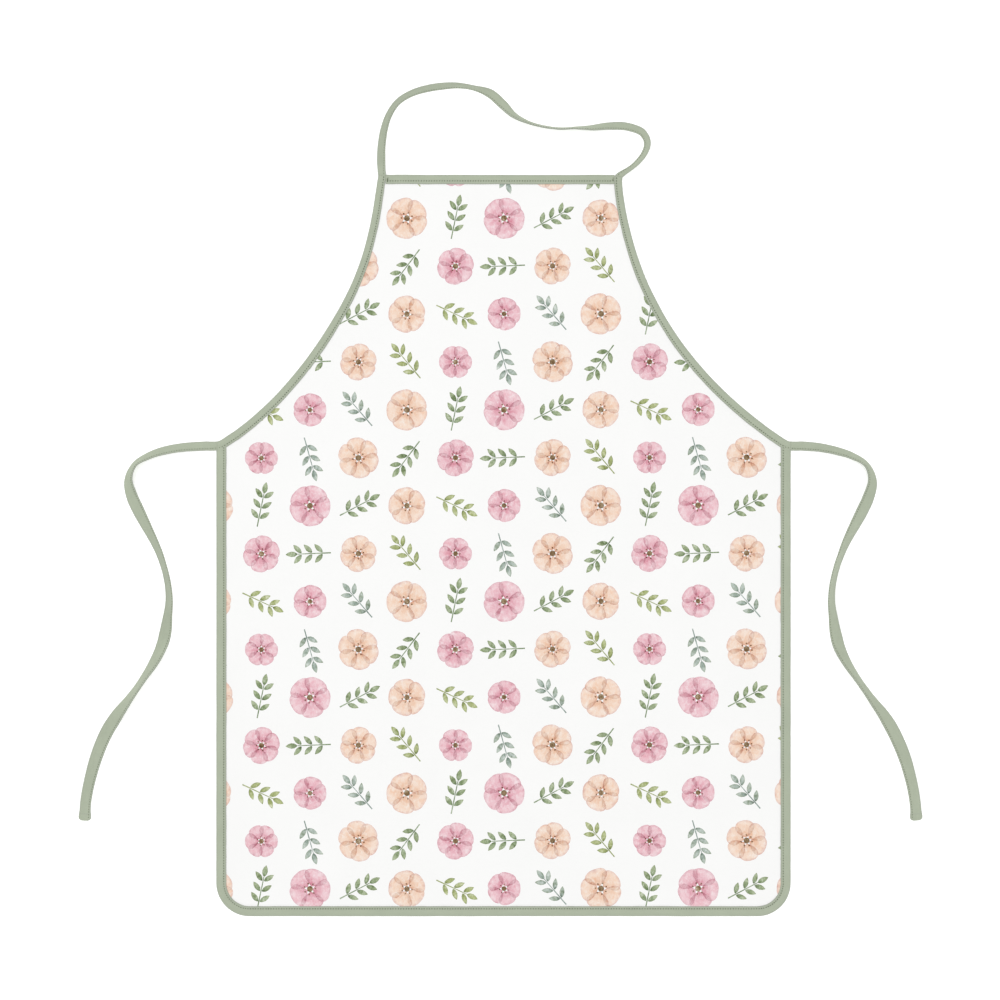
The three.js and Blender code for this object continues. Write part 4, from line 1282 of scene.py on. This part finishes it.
top_left_x, top_right_x = inner_edge(left_tape, -1) - 0.45, inner_edge(right_tape, 1) + 0.45
hem = hem_route()
top_line = Route(np.array([[top_left_x, TOP_Y - TOP_W / 2 + 0.2], [top_right_x, TOP_Y - TOP_W / 2 + 0.2]]),
                 np.array([[0, 1.0], [0, 1.0]]), np.full(2, TOP_W + 0.7), np.zeros(2))


def finish_piece(ob, mat, nodes, body=None, blend=None):
    ob.data.materials.clear()
    ob.data.materials.append(mat)
    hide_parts(*nodes)
    if blend:
        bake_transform(ob)
    else:
        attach(ob, body)
    return ob


BIB_FOLD = ("skirt", "bib", (0, 0.110, 0), (0, 0.136, 0))
NECK_FOLD = ("bib", "neck_loop", (0, 0.3945, 0), (0, 0.4165, 0))
LEFT_FOLD = ("skirt", "left_tie", (-0.310, 0, 0), (-0.332, 0, 0))
RIGHT_FOLD = ("skirt", "right_tie", (0.310, 0, 0), (0.332, 0, 0))

finish_piece(panel, cloth_mat, ["skirt_panel", "bib_panel"], blend=BIB_FOLD)
hem_ob = finish_piece(bind("hem_tape", hem, 0, hem.s[-1], 1, seam=HEM_SEAM), tape_mat, ["hem_binding"], "skirt")
top_ob = finish_piece(bind("top_tape", top_line, 0, top_line.s[-1], 2, seam=TOP_SEAM), tape_mat, ["top_binding"], "bib")
# the weave and the patches of colour run on from piece to piece
strap_off = left_arm.s[-1]
right_off = strap_off + strap_free.s[-1] - right_arm.s[0]
rtie_off = right_off + right_arm.s[-1]
larm_ob = finish_piece(bind("left_armhole_tape", left_arm, left_arm.s[0], left_arm.s[-1], 3, tex=(0.0, 1.0, 3)), tape_mat,
                       ["left_armhole_binding", "left_waist_binding"], blend=BIB_FOLD)
rarm_ob = finish_piece(bind("right_armhole_tape", right_arm, right_arm.s[0], right_arm.s[-1], 4, tex=(right_off, 1.0, 3)), tape_mat,
                       ["right_armhole_binding", "right_waist_binding"], blend=BIB_FOLD)
ltie_ob = finish_piece(strap_tape("left_tie_tape", left_free, 5, end_bulge=True, open_side=1, tex=(left_arm.s[0], -1.0, 3)), tape_mat,
                       ["left_waist_tie"], blend=LEFT_FOLD)
rtie_ob = finish_piece(strap_tape("right_tie_tape", right_free, 6, end_bulge=True, open_side=-1, tex=(rtie_off, 1.0, 3)), tape_mat,
                       ["right_waist_tie"], blend=RIGHT_FOLD)
strap_ob = finish_piece(strap_tape("neck_strap_tape", strap_free, 7, open_side=-1, root=(True, True), tex=(strap_off, 1.0, 3)), tape_mat,
                        ["neck_strap"], blend=NECK_FOLD)

# -------------------------------------------------------------------- sewing
in_bind = lambda route, seam=STITCH_IN: (lambda s: -(route.width(s) / 2 - seam * squeeze(route.width(s))))
flat_v = lambda v: (lambda s: np.full_like(s, v))
hem_st = stitches("hem_seam", hem, 1.0, hem.s[-1] - 1.0, in_bind(hem, HEM_SEAM), flat_v(0.80), flat_v(-0.72), 1)
finish_piece(hem_st, thread_mat, ["hem_stitching"], "skirt")
top_st = stitches("top_seam", top_line, 0.8, top_line.s[-1] - 3.0, in_bind(top_line, TOP_SEAM), flat_v(0.80), flat_v(-0.72), 2)
finish_piece(top_st, thread_mat, ["top_stitching"], "bib")
larm_st = stitches("left_armhole_seam", left_arm, left_arm.s[0] + 0.6, left_arm.s[-1] - 0.6, in_bind(left_arm), flat_v(0.80), flat_v(-0.72), 3)
finish_piece(larm_st, thread_mat, ["left_armhole_stitching", "left_waist_stitching"], blend=BIB_FOLD)
rarm_st = stitches("right_armhole_seam", right_arm, right_arm.s[0] + 0.6, right_arm.s[-1] - 0.6, in_bind(right_arm), flat_v(0.80), flat_v(-0.72), 4)
finish_piece(rarm_st, thread_mat, ["right_armhole_stitching", "right_waist_stitching"], blend=BIB_FOLD)


def tie_row(name, route, sign, seed, nodes, fold, root, r):
    total = route.s[-1]
    f = lambda s: root_of(s, total, root)
    bulge = lambda s: 1 + (0 if root[1] else 0.85) * np.exp(-((total - s - 3.6) / 3.6) ** 2)
    high = lambda s: 0.80 * f(s) + 0.47 * bulge(s) * (1 - f(s))
    near = lambda S: (np.exp(-(S / 14.0) ** 2) * root[0] + np.exp(-((total - S) / 14.0) ** 2) * root[1])
    at = lambda s: sign * (route.width(s) / 2 - (STITCH_IN_TAPE + 0.6 * f(s)) * squeeze(route.width(s)))
    ob = stitches(name, route, 0.6, total - (1.0 if root[1] else 2.6), at, high, lambda s: -high(s), seed, lifted=near, r=r)
    return finish_piece(ob, fine_thread_mat, nodes, blend=fold)


lt_st = tie_row("left_tie_seam", left_free, 1, 5, ["left_tie_stitching"], LEFT_FOLD, (1, 0), 0.38)
rt_st = tie_row("right_tie_seam", right_free, -1, 6, ["right_tie_stitching"], RIGHT_FOLD, (1, 0), 0.38)
ns_st = tie_row("neck_strap_seam", strap_free, -1, 7, ["neck_strap_stitching"], NECK_FOLD, (1, 1), 0.30)


def back_tack(name, x, y0, y1, node, seed):
    """A few stitches sewn over each other where a seam starts or stops."""
    verts, faces = [], []
    th = np.arange(6) / 6 * 2 * np.pi
    rnd = np.random.default_rng(seed)
    local = []
    for k in range(4):
        xa = x + rnd.uniform(-0.45, 0.45)
        ya, yb = y0 + rnd.uniform(-0.3, 0.9), y1 + rnd.uniform(-0.9, 0.3)
        xb = xa + rnd.uniform(-0.5, 0.5)
        steps = np.linspace(0, 1, 9)
        arch = np.sin(steps * math.pi) ** 0.6
        for_z = 2.02 + 0.16 * (k % 3) + 0.32 * arch - 0.30
        r = 0.22 * np.clip(arch * 1.3 + 0.2, 0.2, 1)
        ring = []
        for t, z, rr in zip(steps, for_z, r):
            cx, cy = xa + (xb - xa) * t, ya + (yb - ya) * t
            ring.append(np.stack([cx + rr * np.cos(th), np.full(6, cy), z + rr * np.sin(th)], 1))
        ring = np.array(ring)
        ring[..., 2] += lift(ring[..., 0], ring[..., 1])
        b = len(verts) * 54
        verts.append(ring.reshape(-1, 3))
        local.append(np.stack([np.repeat((steps * abs(yb - ya))[:, None], 6, 1), np.repeat(th[None] / 6.283, 9, 0), np.full((9, 6), k)], -1).reshape(-1, 3))
        for i in range(8):
            for j in range(6):
                faces.append((b + i * 6 + j, b + i * 6 + (j + 1) % 6, b + (i + 1) * 6 + (j + 1) % 6, b + (i + 1) * 6 + j))
        faces.append(tuple(b + j for j in range(6))[::-1])
        faces.append(tuple(b + 48 + j for j in range(6)))
    ob = new_object(name, np.concatenate(verts), faces)
    attribute(ob, "along", np.concatenate(local) * MM)
    return finish_piece(ob, fine_thread_mat, [node], "bib")


lt_tack = back_tack("left_corner_tack", top_left_x + 1.7, 386.6, 392.6, "left_top_back_tack", 31)
rt_tack = back_tack("right_corner_tack", top_right_x - 1.7, 387.2, 392.8, "right_top_back_tack", 32)


# ------------------------------------------------------------- floor and light
def room():
    me = bpy.data.meshes.new("table_top")
    me.from_pydata([(-6, -6, 0), (6, -6, 0), (6, 6, 0), (-6, 6, 0)], [], [(0, 1, 2, 3)])
    ob = bpy.data.objects.new("table_top", me)
    bpy.context.scene.collection.objects.link(ob)
    m = Nodes("table_white")
    n = m.noise(m.t.nodes.new("ShaderNodeTexCoord").outputs["Object"], 3.0, 2.0)
    m.put(m.shader.inputs["Base Color"], m.ramp(n, [(0.3, (0.93, 0.93, 0.93)), (0.7, (0.95, 0.95, 0.95))]))
    m.shader.inputs["Roughness"].default_value = 0.9
    m.shader.inputs["Specular IOR Level"].default_value = 0.1
    m.shader.inputs["Emission Color"].default_value = (1, 1, 1, 1)
    m.shader.inputs["Emission Strength"].default_value = 0.26
    me.materials.append(m.mat)
    world = bpy.data.worlds.new("studio")
    world.use_nodes = True
    world.node_tree.nodes["Background"].inputs[0].default_value = (1, 1, 1, 1)
    world.node_tree.nodes["Background"].inputs[1].default_value = 1.0
    bpy.context.scene.world = world

    def area(name, at, size, power, aim=(0, 0, 0)):
        data = bpy.data.lights.new(name, "AREA")
        data.shape = "SQUARE"
        data.size = size
        data.energy = power
        o = bpy.data.objects.new(name, data)
        o.location = at
        o.rotation_mode = "QUATERNION"
        o.rotation_quaternion = (Vector(at) - Vector(aim)).to_track_quat("Z", "Y")
        bpy.context.scene.collection.objects.link(o)

    area("key", (-2.2, 1.8, 3.0), 3.0, 48)
    area("fill", (2.6, -1.6, 3.2), 3.4, 32)


room()
scene = bpy.context.scene
scene.view_settings.view_transform = "Standard"
scene.view_settings.look = "None"
scene.view_settings.exposure = 0.0
scene.view_settings.gamma = 1.0
